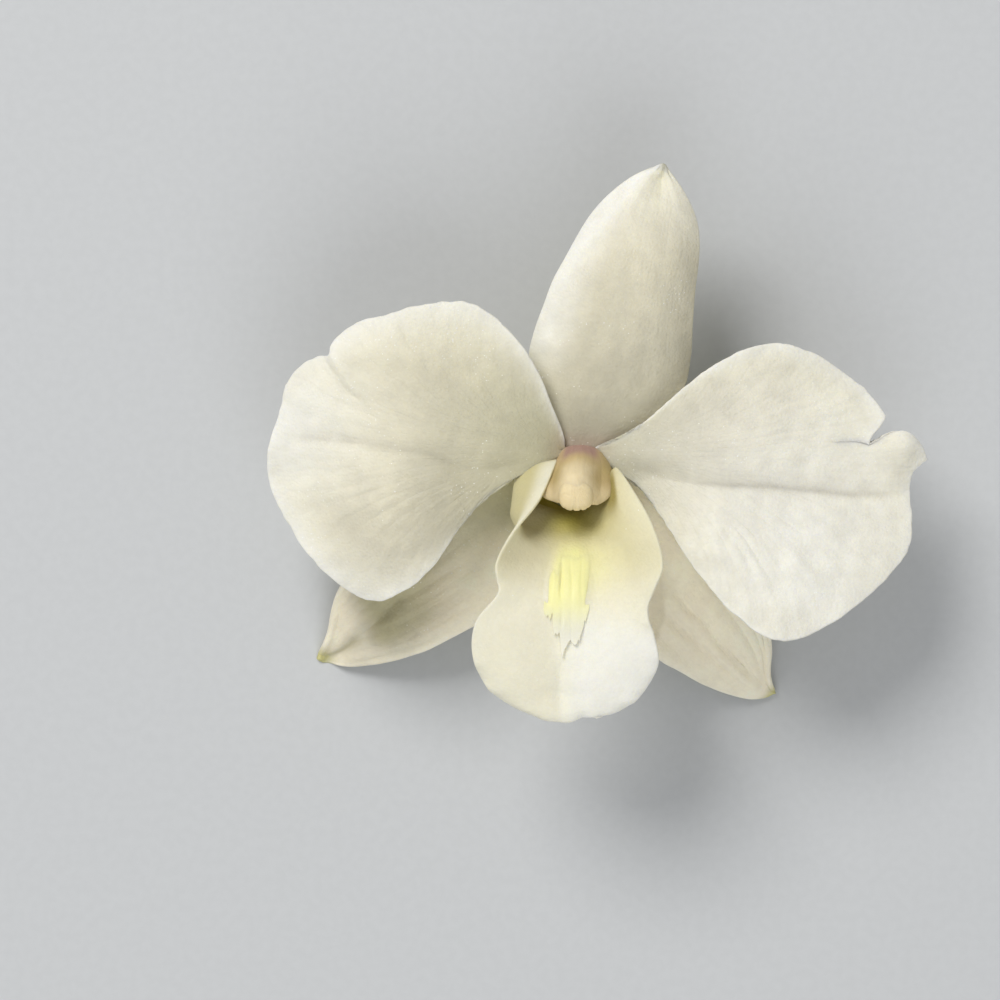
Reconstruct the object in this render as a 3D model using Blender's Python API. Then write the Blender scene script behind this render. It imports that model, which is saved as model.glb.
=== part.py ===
"""A dendrobium orchid flower, picked with its stalk and lying face up on a flat surface.

Points are written in drawing millimetres about the heart of the flower, where sepals, petals and
column meet: +X to the flower's left as it faces up, +Y towards the upper (dorsal) sepal, +Z up, out
of its face. Everything follows PETAL_SPAN, the width across both petals.
"""

import math

import bmesh
import bpy
import numpy as np
from mathutils import Vector

PETAL_SPAN = 0.062  # metres, over the two petals
DRAWN_SPAN = 62.0  # the same width in drawing millimetres
UNIT = PETAL_SPAN / DRAWN_SPAN  # metres in a drawing millimetre
HEART = Vector((-1.6, -0.6, 13.7))  # the heart above the middle of the flower's footprint

PETAL_THICKNESS = 0.62
SEPAL_THICKNESS = 0.62
LIP_THICKNESS = 0.60
RIM_SHARE = 0.55  # thickness at a free edge, as a share of that in the middle

COLOURS = {
    "petal_white": (0.84, 0.82, 0.74),
    "lip_white": (0.87, 0.84, 0.72),
    "column_cream": (0.84, 0.72, 0.52),
    "pollen_yellow": (0.80, 0.58, 0.12),
    "stalk_green": (0.33, 0.34, 0.09),
}

# Margins of the two petals, from the upper corner of the claw round to the lower one.
LEFT_PETAL_MARGIN = [
    (-2.2, 1.3), (-2.7, 3.6), (-4.2, 7.4), (-6.5, 10.8), (-9.2, 13.1), (-12.2, 13.8), (-15.6, 13.3),
    (-19.0, 12.4), (-21.6, 11.4), (-23.3, 9.7), (-23.5, 8.7), (-25.2, 8.4), (-27.2, 6.7), (-28.2, 3.4),
    (-29.2, 0.2), (-29.1, -2.8), (-27.6, -6.4), (-25.2, -10.0), (-22.4, -12.7), (-19.4, -14.1),
    (-16.6, -13.2), (-13.9, -11.0), (-11.6, -7.6), (-9.2, -4.5), (-6.0, -2.5), (-3.2, -1.3),
]
RIGHT_PETAL_MARGIN = [
    (2.6, 0.9), (5.1, 1.6), (8.1, 4.3), (11.4, 7.1), (14.8, 9.1), (18.4, 9.9), (21.6, 9.1),
    (24.6, 7.3), (27.2, 5.2), (28.6, 3.2), (27.9, 1.9), (27.2, 0.8), (28.7, 1.5), (30.3, 1.8),
    (31.8, 0.9), (32.6, -0.8), (31.1, -2.2), (31.0, -4.8), (31.1, -7.6), (29.8, -10.7), (27.0, -13.6),
    (23.6, -16.2), (20.2, -17.7), (17.0, -17.2), (13.8, -14.7), (11.0, -11.3), (8.6, -7.6),
    (6.3, -3.8), (3.7, -1.5),
]
LEFT_CLAW = ((-1.75, 0.9), (-1.85, -0.9))
RIGHT_CLAW = ((1.75, 0.9), (1.85, -0.9))

# Margins of the upper sepal, both from its foot to its tip.
UPPER_SEPAL_LEFT = [
    (-1.5, 0.75), (-3.0, 3.2), (-4.4, 6.4), (-4.4, 10.2), (-3.2, 13.8), (-1.3, 17.9), (0.9, 21.9),
    (4.0, 25.1), (7.5, 26.7),
]
UPPER_SEPAL_RIGHT = [
    (1.5, 0.75), (5.2, 2.4), (8.8, 4.6), (10.2, 8.2), (10.5, 12.2), (10.9, 16.9), (11.1, 20.0),
    (10.0, 23.6), (7.9, 26.7),
]

# Lateral sepals: (upper edge, keel, lower edge) at stations from the apex of the chin to the tip.
# The first six stations are half of the chin, which the two sepals close round the lip's claw.
CHIN = [
    ((0.26, -7.1, -13.35), (0.40, -7.5, -13.45), (0.26, -7.9, -13.35)),
    ((0.70, -6.3, -12.5), (1.35, -7.4, -12.6), (0.30, -8.7, -12.5)),
    ((1.00, -5.4, -10.6), (1.70, -7.1, -10.6), (0.30, -9.3, -10.8)),
    ((1.20, -4.1, -7.9), (2.7, -7.3, -8.2), (0.30, -11.3, -8.6)),
    ((1.45, -2.6, -4.6), (3.9, -7.2, -5.6), (0.30, -12.5, -6.5)),
    ((1.65, -1.0, -1.3), (5.2, -7.2, -3.5), (0.35, -12.9, -4.8)),
]
LEFT_BLADE = [
    ((-5.4, -1.8, -1.5), (-8.0, -8.3, -3.8), (-3.4, -13.8, -5.0)),
    ((-12.6, -5.0, -3.6), (-12.2, -11.4, -5.2), (-9.4, -16.3, -6.4)),
    ((-18.8, -8.9, -6.2), (-17.3, -14.7, -7.6), (-15.0, -19.1, -8.6)),
    ((-22.9, -13.4, -9.4), (-21.3, -17.3, -10.6), (-19.3, -20.3, -11.2)),
    ((-24.0, -17.6, -12.0), (-23.3, -19.1, -12.6), (-22.4, -20.6, -12.9)),
    ((-24.8, -19.6, -13.35), (-24.7, -19.9, -13.4), (-24.5, -20.2, -13.4)),
]
RIGHT_BLADE = [
    ((5.4, -2.2, -1.5), (7.2, -9.0, -3.6), (2.8, -14.8, -5.0)),
    ((11.8, -6.8, -3.6), (10.4, -13.0, -5.2), (6.2, -18.6, -6.6)),
    ((16.2, -11.8, -6.2), (13.7, -17.0, -7.6), (9.8, -21.0, -8.8)),
    ((18.2, -17.4, -9.4), (16.2, -20.4, -10.6), (13.6, -22.9, -11.4)),
    ((18.3, -21.2, -12.1), (17.6, -22.4, -12.6), (16.6, -23.7, -12.9)),
    ((18.75, -23.0, -13.35), (18.65, -23.2, -13.4), (18.4, -23.5, -13.4)),
]

# The lip: (middle line, left rim, right rim, how far each wall bulges past its rim) from its claw in
# the chin to its tip.
LIP = [
    ((0.0, -8.0, -11.2), (-0.65, -7.9, -11.2), (0.65, -7.9, -11.2), (0.0, 0.0)),
    ((0.0, -7.5, -8.2), (-0.95, -7.2, -8.2), (0.95, -7.2, -8.2), (0.0, 0.0)),
    ((0.0, -7.1, -4.6), (-1.9, -6.2, -4.4), (1.9, -6.2, -4.4), (0.2, 0.2)),
    ((0.0, -6.8, -1.4), (-3.5, -4.2, -0.6), (3.6, -4.4, -0.6), (0.8, 0.6)),
    ((-0.2, -7.2, 0.9), (-2.8, -1.3, 3.6), (3.5, -1.8, 3.4), (2.3, 0.9)),
    ((-0.4, -8.4, 2.8), (-4.3, -4.5, 6.0), (5.0, -4.1, 5.7), (2.2, 1.0)),
    ((-0.7, -10.2, 4.4), (-6.3, -7.7, 7.2), (6.7, -7.4, 7.2), (1.0, 0.8)),
    ((-1.0, -12.0, 5.6), (-7.8, -10.9, 7.9), (7.5, -11.0, 8.2), (0.6, 0.6)),
    ((-1.3, -13.8, 6.6), (-7.5, -13.2, 7.8), (6.1, -14.7, 8.0), (0.3, 0.3)),
    ((-1.5, -16.2, 7.2), (-9.6, -16.0, 7.4), (6.7, -17.3, 7.6), (0.2, 0.2)),
    ((-1.7, -19.0, 7.1), (-9.9, -19.3, 6.6), (7.1, -20.0, 6.6), (0.1, 0.1)),
    ((-1.8, -22.0, 6.4), (-8.3, -22.6, 5.6), (5.6, -22.9, 5.6), (0.0, 0.0)),
    ((-1.8, -24.4, 5.4), (-5.0, -24.6, 5.0), (3.2, -24.8, 5.0), (0.0, 0.0)),
    ((-1.5, -25.5, 4.9), (-2.6, -25.5, 4.8), (0.2, -25.2, 4.8), (0.0, 0.0)),
]

# The crest's three keels: (middle line, half width, half height) from the throat to each one's tooth.
CREST_KEELS = [
    [
        ((-1.2, -9.2, 3.3), 0.60, 0.50),
        ((-2.1, -11.2, 5.2), 0.75, 0.90),
        ((-2.65, -13.4, 6.9), 0.75, 0.95),
        ((-2.9, -15.2, 7.9), 0.55, 0.60),
        ((-2.7, -16.8, 8.4), 0.20, 0.16),
    ],
    [
        ((-0.9, -8.8, 3.0), 0.70, 0.60),
        ((-1.0, -11.0, 5.0), 1.00, 1.00),
        ((-1.1, -13.6, 6.9), 0.95, 1.15),
        ((-1.5, -16.4, 8.1), 0.75, 0.80),
        ((-1.9, -19.3, 8.8), 0.20, 0.16),
    ],
    [
        ((-0.5, -9.2, 3.4), 0.60, 0.50),
        ((-0.2, -11.4, 5.4), 0.70, 0.85),
        ((0.0, -13.8, 7.1), 0.75, 0.90),
        ((0.0, -16.0, 8.0), 0.60, 0.65),
        ((-0.4, -18.1, 8.6), 0.20, 0.16),
    ],
]

# The column with its foot: (axis, half width, depth to the back, depth to the front) from the tip
# of the foot, up to the heart and out to the anther.
COLUMN = [
    ((0.0, -6.9, -12.0), 0.45, 0.35, 0.30),
    ((0.0, -6.2, -10.2), 0.80, 0.60, 0.40),
    ((0.0, -5.1, -7.6), 0.95, 0.70, 0.50),
    ((0.0, -3.8, -4.9), 1.10, 0.80, 0.60),
    ((0.0, -2.4, -2.2), 1.25, 0.95, 0.90),
    ((0.0, -1.1, -0.2), 1.42, 1.20, 1.20),
    ((-0.05, -1.2, 1.5), 1.70, 1.45, 1.10),
    ((-0.15, -2.0, 2.9), 2.10, 1.50, 0.70),
    ((-0.28, -2.8, 3.7), 2.70, 1.20, 0.25),
    ((-0.36, -3.6, 4.25), 2.95, 0.75, 0.10),
    ((-0.42, -4.3, 4.65), 2.70, 0.45, 0.10),
]

ANTHER_CAP_MIDDLE = Vector((-0.42, -4.3, 5.45))
ANTHER_CAP_LEAN = math.radians(-16)  # its crown leans back this far from straight up
ANTHER_CAP_RADII = (1.60, 1.50, 1.15)  # across, along the column, high
ANTHER_CAP_WALL = 0.36
POLLINIUM_RADII = (0.17, 0.50, 0.22)
POLLINIUM_PITCH = 0.42
POLLINIUM_HEIGHT = 0.28

# The stalk: (axis, radius) from the ovary's head to the cut end.
STALK = [
    ((0.0, 1.10, -1.5), 1.75),
    ((0.0, 1.45, -3.0), 1.48),
    ((0.15, 3.2, -5.9), 1.22),
    ((0.7, 5.6, -8.9), 1.15),
    ((1.8, 8.8, -11.2), 1.15),
    ((3.3, 12.6, -12.3), 1.15),
    ((4.9, 16.4, -12.5), 1.17),
    ((6.3, 20.2, -12.4), 1.27),
]


def spline(points, steps):
    """A smooth curve through the points, with this many steps between each and the next."""
    points = np.asarray(points, float)
    gaps = np.maximum(np.linalg.norm(np.diff(points, axis=0), axis=1), 1e-9) ** 0.5
    slopes = np.diff(points, axis=0) / gaps[:, None]
    tangents = np.empty_like(points)
    tangents[1:-1] = (slopes[:-1] * gaps[1:, None] + slopes[1:] * gaps[:-1, None]) / (gaps[1:] + gaps[:-1])[:, None]
    tangents[0] = 2 * slopes[0] - tangents[1]
    tangents[-1] = 2 * slopes[-1] - tangents[-2]
    t = np.linspace(0, 1, steps, endpoint=False)[:, None]
    pieces = []
    for i, gap in enumerate(gaps):
        a, b = points[i], points[i + 1]
        pieces.append(
            a * (2 * t**3 - 3 * t**2 + 1)
            + b * (3 * t**2 - 2 * t**3)
            + tangents[i] * gap * (t**3 - 2 * t**2 + t)
            + tangents[i + 1] * gap * (t**3 - t**2)
        )
    return np.concatenate([*pieces, points[-1:]])


def ramp(value, start, end):
    """0 before start, 1 after end, smooth between."""
    t = np.clip((value - start) / (end - start), 0, 1)
    return t * t * (3 - 2 * t)


def calmed(line, rounds):
    """The line with its small ins and outs smoothed away, its ends held."""
    line = line.copy()
    for _ in range(rounds):
        line[1:-1] = (line[:-2] + 2 * line[1:-1] + line[2:]) / 4
    return line


def normals_of(grid):
    """Unit normals of a grid of points, on the side that faces up at its middle."""
    along, across = np.gradient(grid, axis=0), np.gradient(grid, axis=1)
    normals = np.cross(along, across)
    normals /= np.maximum(np.linalg.norm(normals, axis=2, keepdims=True), 1e-9)
    middle = normals[len(grid) // 2, grid.shape[1] // 2]
    return normals if middle[2] > 0 else -normals


def material_named(name):
    material = bpy.data.materials.get(name)
    if material is None:
        material = bpy.data.materials.new(name)
        material.use_nodes = True
        shader = material.node_tree.nodes["Principled BSDF"]
        shader.inputs["Base Color"].default_value = (*COLOURS[name], 1)
        shader.inputs["Roughness"].default_value = 0.5
        shader.inputs["Metallic"].default_value = 0.0
    return material


def place(name, points, faces, finish):
    """An object made of these points, in drawing millimetres about the heart, with its faces turned outwards."""
    mesh = bpy.data.meshes.new(name)
    flat = np.asarray(points, float).reshape(-1, 3)
    mesh.from_pydata([UNIT * (Vector(p) + HEART) for p in flat], [], faces)
    shape = bmesh.new()
    shape.from_mesh(mesh)
    bmesh.ops.recalc_face_normals(shape, faces=shape.faces)
    shape.to_mesh(mesh)
    shape.free()
    mesh.shade_smooth()
    mesh.set_sharp_from_angle(angle=math.radians(50))
    mesh.materials.append(material_named(finish))
    piece = bpy.data.objects.new(name, mesh)
    bpy.context.scene.collection.objects.link(piece)
    return piece


def sheet(name, middle, thickness, finish):
    """A closed sheet of this thickness about a grid of points, its upper and lower skins joined all round the rim."""
    rows, columns = middle.shape[:2]
    half = normals_of(middle) * np.asarray(thickness)[..., None] / 2
    points = np.concatenate([(middle + half).reshape(-1, 3), (middle - half).reshape(-1, 3)])
    under = rows * columns
    faces = []
    for i in range(rows - 1):
        for j in range(columns - 1):
            a, b = i * columns + j, (i + 1) * columns + j
            faces.append((a, a + 1, b + 1, b))
            faces.append((under + a, under + b, under + b + 1, under + a + 1))
    rim = [j for j in range(columns)]
    rim += [i * columns + columns - 1 for i in range(1, rows)]
    rim += [(rows - 1) * columns + j for j in range(columns - 2, -1, -1)]
    rim += [i * columns for i in range(rows - 2, 0, -1)]
    for a, b in zip(rim, rim[1:] + rim[:1]):
        faces.append((a, b, under + b, under + a))
    return place(name, points, faces, finish)


def tube(name, rings, finish):
    """A closed tube through rings of points, with a flat cap at each end."""
    count, sides = rings.shape[:2]
    faces = [tuple(range(sides)), tuple((count - 1) * sides + j for j in range(sides))]
    for i in range(count - 1):
        for j in range(sides):
            k = (j + 1) % sides
            faces.append((i * sides + j, i * sides + k, (i + 1) * sides + k, (i + 1) * sides + j))
    return place(name, rings, faces, finish)


def petal(name, margin, claw, side, heights):
    """A broad petal whose veins fan out from its claw to the margin. `heights` gives how far it stands out."""
    margin = np.asarray(margin, float)
    calm = calmed(margin, 8)
    claw = spline([claw[0], claw[1]], len(margin) - 1)
    reach = np.array([0, 0.09, 0.2, 0.34, 0.5, 0.65, 0.8, 0.92, 1.0])[:, None, None]
    flat = claw[None] * (1 - reach) + calm[None] * reach + (margin - calm)[None] * reach**8
    z = heights(side * flat[..., 0], flat[..., 1], np.broadcast_to(reach[..., 0], flat.shape[:2]))
    thickness = PETAL_THICKNESS * (1 - (1 - RIM_SHARE) * reach[..., 0] ** 4 * np.ones(len(margin)))
    return sheet(name, np.dstack([flat, z]), thickness, "petal_white")


def petal_heights(out, y, reach, keel_slope, keel_curl):
    """How far a petal stands out from the heart, `out` millimetres to the side: a claw that rises, a blade
    that falls back towards its end, a channel along the keel and a rim that waves a little."""
    rise = 2.3 * (1 - np.exp(-np.hypot(out - 1.6, y) / 4.5))
    rise *= 1 - 0.65 * ramp(-y, 0, 3) * (1 - ramp(out, 5, 13))
    fall = 2.6 * ramp(out, 12, 34)
    keel = keel_slope * (out - 2) + keel_curl * np.sin(out / 9)
    channel = 0.45 * np.exp(-(((y - keel) / 1.6) ** 2)) * ramp(out, 3, 9)
    cup = 0.008 * (y - keel) ** 2 * ramp(out, 4, 14)
    wave = 0.55 * reach**3 * np.sin(0.42 * y + 0.23 * out) * ramp(out, 5, 13)
    return 0.35 + rise - fall - channel - cup + wave


def petals():
    petal("petal_left", LEFT_PETAL_MARGIN, LEFT_CLAW, -1,
          lambda out, y, reach: petal_heights(out, y, reach, 0.07, -0.9))
    petal("petal_right", RIGHT_PETAL_MARGIN, RIGHT_CLAW, 1,
          lambda out, y, reach: petal_heights(out, y, reach, -0.10, -1.2))


def upper_sepal():
    """The upper sepal: it leans forwards from its foot and its tip draws back to a shallow channel."""
    left, right = spline(UPPER_SEPAL_LEFT, 2), spline(UPPER_SEPAL_RIGHT, 2)
    across = np.linspace(0, 1, 9)
    flat = left[:, None] * (1 - across)[None, :, None] + right[:, None] * across[None, :, None]
    up = flat[..., 1]
    side = 2 * across[None, :] - 1
    lean = -0.35 + 3.4 * ramp(up, 1, 19) - 2.2 * ramp(up, 16, 28)
    camber = -1.7 * side**2 * ramp(up, 2, 9) * (1 - ramp(up, 20, 27))
    channel = -0.5 * np.exp(-((side / 0.3) ** 2)) * ramp(up, 19, 25)
    thickness = SEPAL_THICKNESS * (1 - (1 - RIM_SHARE) * side**4 * np.ones_like(up))
    return sheet("upper_sepal", np.dstack([flat, lean + camber + channel]), thickness, "petal_white")


def lateral_sepal(name, side, blade):
    """A lateral sepal with its half of the chin, run from the chin's apex to the sepal's tip."""
    half_chin = [[(side * x, y, z) for x, y, z in station] for station in CHIN]
    stations = np.array(half_chin + [list(station) for station in blade])
    upper, keel, lower = (spline(stations[:, k], 2) for k in range(3))
    t = np.linspace(0, 1, 9)[None, :, None]
    grid = upper[:, None] * (1 - t) * (1 - 2 * t) + keel[:, None] * 4 * t * (1 - t) + lower[:, None] * t * (2 * t - 1)
    along = np.linspace(0, 1, len(grid))
    edge = (2 * t[..., 0] - 1) ** 4
    thickness = (SEPAL_THICKNESS - 0.2 * ramp(along, 0.35, 0.0))[:, None] * (1 - (1 - RIM_SHARE) * edge)
    return sheet(name, grid, thickness, "petal_white")


def lip_section(middle, left, right, bulges, count):
    """Points across the lip at each station: two curves that leave the middle line level and end at the rims."""
    t = np.linspace(0, 1, count)[None, :, None]
    halves = []
    for rim, way, bulge in ((left, -1.0, bulges[:, :1]), (right, 1.0, bulges[:, 1:])):
        width = np.abs(rim[:, :1] - middle[:, :1])
        outwards = np.array([way, 0.0, 0.0])
        near = middle + outwards * (0.55 * width + 0.5 * bulge)
        far = rim + outwards * bulge + (middle - rim) * 0.25
        halves.append(
            middle[:, None] * (1 - t) ** 3
            + near[:, None] * 3 * t * (1 - t) ** 2
            + far[:, None] * 3 * t**2 * (1 - t)
            + rim[:, None] * t**3
        )
    return np.concatenate([halves[0][:, ::-1], halves[1][:, 1:]], axis=1)


def lip():
    """The lip, with its claw in the chin, side lobes up beside the column, a broad front lobe and a crest."""
    middle, left, right = (spline([station[k] for station in LIP], 2) for k in range(3))
    bulges = spline([station[3] for station in LIP], 2)
    grid = lip_section(middle, left, right, bulges, 7)
    edge = np.abs(np.linspace(-1, 1, grid.shape[1])) ** 4
    thickness = LIP_THICKNESS * (1 - (1 - RIM_SHARE) * edge)[None] * np.ones((len(grid), 1))
    blade = sheet("labellum", grid, thickness, "lip_white")
    for number, keel in enumerate(CREST_KEELS):
        union = blade.modifiers.new(f"keel_{number + 1}", "BOOLEAN")
        union.operation = "UNION"
        union.solver = "EXACT"
        union.use_self = True
        union.object = crest_keel(f"keel_{number + 1}_to_join", keel)
    return blade


def crest_keel(name, stations):
    """A keel of the lip's crest, which the lip's solid takes in."""
    axis = spline([station[0] for station in stations], 2)
    size = spline([station[1:] for station in stations], 2)
    turn = np.linspace(0, 2 * math.pi, 8, endpoint=False)
    rings = np.array([
        [(x + half * math.cos(a), y, z + high * math.sin(a)) for a in turn]
        for (x, y, z), (half, high) in zip(axis, size)
    ])
    keel = tube(name, rings, "lip_white")
    keel.hide_render = True
    keel.display_type = "WIRE"
    return keel


def column():
    """The column and its foot in one: round at the heart, then a shallow gutter with a wing on either side."""
    axis = spline([station[0] for station in COLUMN], 2)
    size = spline([station[1:] for station in COLUMN], 2)
    along = np.gradient(axis, axis=0)
    along /= np.linalg.norm(along, axis=1, keepdims=True)
    across = np.array([1.0, 0.0, 0.0])
    back = np.cross(across, along)
    back /= np.linalg.norm(back, axis=1, keepdims=True)
    turn = np.linspace(0, 2 * math.pi, 14, endpoint=False)
    rings = []
    for centre, outwards, (wide, to_back, to_front) in zip(axis, -back, size):
        depth = np.where(np.sin(turn) > 0, to_back, to_front) * np.sin(turn)
        rings.append(centre + np.outer(wide * np.cos(turn), across) + np.outer(depth, outwards))
    return tube("column", np.array(rings), "column_cream")


def leaned(points):
    """Points of the anther, drawn about its middle with its crown up, set on the column."""
    lean = np.array([
        [1, 0, 0],
        [0, math.cos(ANTHER_CAP_LEAN), -math.sin(ANTHER_CAP_LEAN)],
        [0, math.sin(ANTHER_CAP_LEAN), math.cos(ANTHER_CAP_LEAN)],
    ])
    return np.asarray(points) @ lean.T + np.array(ANTHER_CAP_MIDDLE)


def anther_cap():
    """The anther cap: a hollow dome, open towards the column, with a rim that dips between three lobes."""
    sides = 18
    turn = np.linspace(0, 2 * math.pi, sides, endpoint=False)
    lobes = 1 + 0.05 * np.cos(6 * turn)
    skins = []
    for inset, levels in ((0.0, (0.0, 0.3, 0.6, 0.85)), (ANTHER_CAP_WALL, (0.85, 0.55, 0.0))):
        for level in levels:
            swell = math.cos(level * math.pi / 2)
            a, b, c = (radius - inset for radius in ANTHER_CAP_RADII)
            height = c * math.sin(level * math.pi / 2)
            skins.append([
                (a * swell * lobe * math.cos(t), b * swell * lobe * math.sin(t), height)
                for t, lobe in zip(turn, lobes)
            ])
    rings = leaned(skins)
    count = len(skins)
    outer_top, inner_top = 3, 4
    faces = [
        tuple(outer_top * sides + j for j in range(sides)),
        tuple(inner_top * sides + j for j in range(sides)),
    ]
    for i in [k for k in range(count) if k != outer_top]:
        n = (i + 1) % count
        for j in range(sides):
            k = (j + 1) % sides
            faces.append((i * sides + j, i * sides + k, n * sides + k, n * sides + j))
    return place("anther_cap", rings, faces, "column_cream")


def pollinia():
    """Four waxy pollinia, side by side under the anther cap."""
    turn = np.linspace(0, 2 * math.pi, 8, endpoint=False)
    for number in range(4):
        x = (number - 1.5) * POLLINIUM_PITCH
        rings = [
            [
                (
                    x + POLLINIUM_RADII[0] * math.cos(level) * math.cos(a),
                    POLLINIUM_RADII[1] * math.sin(level),
                    POLLINIUM_HEIGHT + POLLINIUM_RADII[2] * math.cos(level) * math.sin(a),
                )
                for a in turn
            ]
            for level in np.radians([-75, -40, 0, 40, 75])
        ]
        tube(f"pollinium_{number + 1}", leaned(rings), "pollen_yellow")


def stalk():
    """The ovary and the stalk it grows on, which bends back behind the upper sepal and ends in a square cut."""
    axis = spline([station[0] for station in STALK], 3)
    radius = spline([(station[1], i) for i, station in enumerate(STALK)], 3)[:, 0]
    along = np.gradient(axis, axis=0)
    along /= np.linalg.norm(along, axis=1, keepdims=True)
    across = np.cross(along, [0.0, 0.0, 1.0])
    across /= np.linalg.norm(across, axis=1, keepdims=True)
    up = np.cross(across, along)
    turn = np.linspace(0, 2 * math.pi, 12, endpoint=False)
    rings = np.array([
        centre + r * (np.outer(np.cos(turn), side) + np.outer(np.sin(turn), lift))
        for centre, r, side, lift in zip(axis, radius, across, up)
    ])
    return tube("pedicel", rings, "stalk_green")


def main():
    for obj in list(bpy.data.objects):
        bpy.data.objects.remove(obj)
    petals()
    upper_sepal()
    lateral_sepal("lateral_sepal_left", -1, LEFT_BLADE)
    lateral_sepal("lateral_sepal_right", 1, RIGHT_BLADE)
    lip()
    column()
    anther_cap()
    pollinia()
    stalk()


if __name__ == "__main__":
    main()
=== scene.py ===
"""A dendrobium orchid flower, picked with its stalk and lying face up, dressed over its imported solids.

Points are in drawing millimetres about the flower's heart, where sepals, petals and column meet: +Y
towards the upper sepal, +Z out of its face, and +X to the right of a view of that face, from which the
left and right pieces have their names. A station counts the sections of a piece from its foot. A tint
is up to four weights a point, each leading to a tone of its finish.
"""

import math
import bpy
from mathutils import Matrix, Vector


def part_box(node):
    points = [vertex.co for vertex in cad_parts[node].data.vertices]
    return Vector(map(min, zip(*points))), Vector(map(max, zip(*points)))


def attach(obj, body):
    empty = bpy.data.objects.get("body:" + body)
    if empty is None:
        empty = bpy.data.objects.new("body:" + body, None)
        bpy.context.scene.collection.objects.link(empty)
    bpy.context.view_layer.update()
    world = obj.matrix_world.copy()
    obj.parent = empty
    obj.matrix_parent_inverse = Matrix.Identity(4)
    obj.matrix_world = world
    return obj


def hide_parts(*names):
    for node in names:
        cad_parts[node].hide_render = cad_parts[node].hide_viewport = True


bl_info = {
    "name": "Dendrobium Flower",
    "version": (1, 0, 0),
    "blender": (4, 5, 0),
    "location": "View3D > Sidebar > Orchid",
    "description": "Petals, sepals, lip, column and stalk of a dendrobium flower, over its solids",
    "category": "Add Mesh",
}

import bmesh
import bpy
import numpy as np
from bpy.props import FloatProperty, FloatVectorProperty, IntProperty, PointerProperty
from mathutils import Vector

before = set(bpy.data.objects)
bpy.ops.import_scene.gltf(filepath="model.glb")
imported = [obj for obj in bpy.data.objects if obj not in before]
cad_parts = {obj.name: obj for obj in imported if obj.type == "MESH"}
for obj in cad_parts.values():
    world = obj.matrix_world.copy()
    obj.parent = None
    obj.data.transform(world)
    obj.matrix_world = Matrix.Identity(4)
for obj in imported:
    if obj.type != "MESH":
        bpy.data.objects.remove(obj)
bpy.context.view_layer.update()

# The drawing's scale and its heart, from the solids.
DRAWN_SPAN = 61.8071  # over both petals
DRAWN_REACH = {"left": 29.201, "up": 26.926, "down": 13.694}  # from the heart to the solids' ends
UNIT = (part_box("petal_right")[1].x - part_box("petal_left")[0].x) / DRAWN_SPAN
HEART = Vector((
    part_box("petal_left")[0].x + DRAWN_REACH["left"] * UNIT,
    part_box("upper_sepal")[1].y - DRAWN_REACH["up"] * UNIT,
    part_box("pedicel")[0].z + DRAWN_REACH["down"] * UNIT,
))

# Each piece: the solid that it stands for, that solid's material slot, and the finish it has here.
PIECES = {
    "left_petal": ("petal_left", "petal_white", "petal flesh"),
    "right_petal": ("petal_right", "petal_white", "petal flesh"),
    "dorsal_sepal": ("upper_sepal", "petal_white", "upper sepal flesh"),
    "left_lateral_sepal": ("lateral_sepal_left", "petal_white", "lateral sepal flesh"),
    "right_lateral_sepal": ("lateral_sepal_right", "petal_white", "lateral sepal flesh"),
    "lip": ("labellum", "lip_white", "lip flesh"),
    "crest_fringe": ("labellum", "lip_white", "crest flesh"),
    "column_body": ("column", "column_cream", "column flesh"),
    "anther_lid": ("anther_cap", "column_cream", "anther flesh"),
    **{f"pollen_{n}": (f"pollinium_{n}", "pollen_yellow", "pollen wax") for n in (1, 2, 3, 4)},
    "stalk": ("pedicel", "stalk_green", "stalk skin"),
}

# Each finish: its colour, the tones that its tint leads to, and how it differs from a petal's.
SEPAL_VEINS = {"veins": 15, "veining": 0.25}
FINISHES = {
    "petal flesh": ("petal", "base_green pink rim_white shade", {}),
    "upper sepal flesh": ("petal", "sepal_green pink shade rim_white", SEPAL_VEINS),
    "lateral sepal flesh": ("petal", "sepal_green pink chin_green cream", SEPAL_VEINS),
    "lip flesh": ("lip", "throat crest lip_front hollow", {
        "veins": 21, "veining": 0.1, "depth": 0.0009, "glow": 0.35, "glints": 0.006,
        "pebble": 0.2, "mottle": 0.035, "crepe": 0.06,
    }),
    "crest flesh": ("lip", "throat crest lip_front", {
        "cell": 0.00015, "veins": 1, "veining": 0.0, "depth": 0.0005, "glow": 0.3, "glints": 0.0,
        "pebble": 0.04, "mottle": 0.03, "crepe": 0.0,
    }),
    "column flesh": ("column", "column_wing column_pink hollow chin_green", {
        "veins": 9, "glow": 0.3, "glints": 0.0, "pebble": 0.15, "mottle": 0.05, "crepe": 0.05,
    }),
    "anther flesh": ("anther", "column_wing column_pink stigma", {
        "cell": 0.00013, "veins": 5, "roughness": 0.45, "glow": 0.3, "glints": 0.0,
        "pebble": 0.4, "mottle": 0.08, "crepe": 0.0,
    }),
    "pollen wax": ("pollen", "crest column anther", {
        "cell": 0.00012, "veins": 3, "roughness": 0.35, "glow": 0.3,
        "pebble": 0.4, "mottle": 0.1, "crepe": 0.0,
    }),
    "stalk skin": ("stalk", "stalk_flush heart_pink stalk_pith", {
        "cell": 0.0002, "veins": 18, "roughness": 0.42, "glow": 0.12, "glints": 0.0,
        "pebble": 0.15, "mottle": 0.16, "crepe": 0.2,
    }),
}
PATCH, FINE_PATCH, WANDER = 0.006, 0.0013, 0.004  # widths of the mottling and of a vein's wander, in metres
VEIN_DEPTH, CREPE_DEPTH = 0.00008, 0.00016  # in metres
LIGHT_SPREAD = (1.0, 0.9, 0.65)  # how far red, green and blue light run inside the flesh
# the near white painted on glinting cells, a painted highlight
PAINTED_GLINT = (1.0, 1.0, 0.97)

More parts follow.
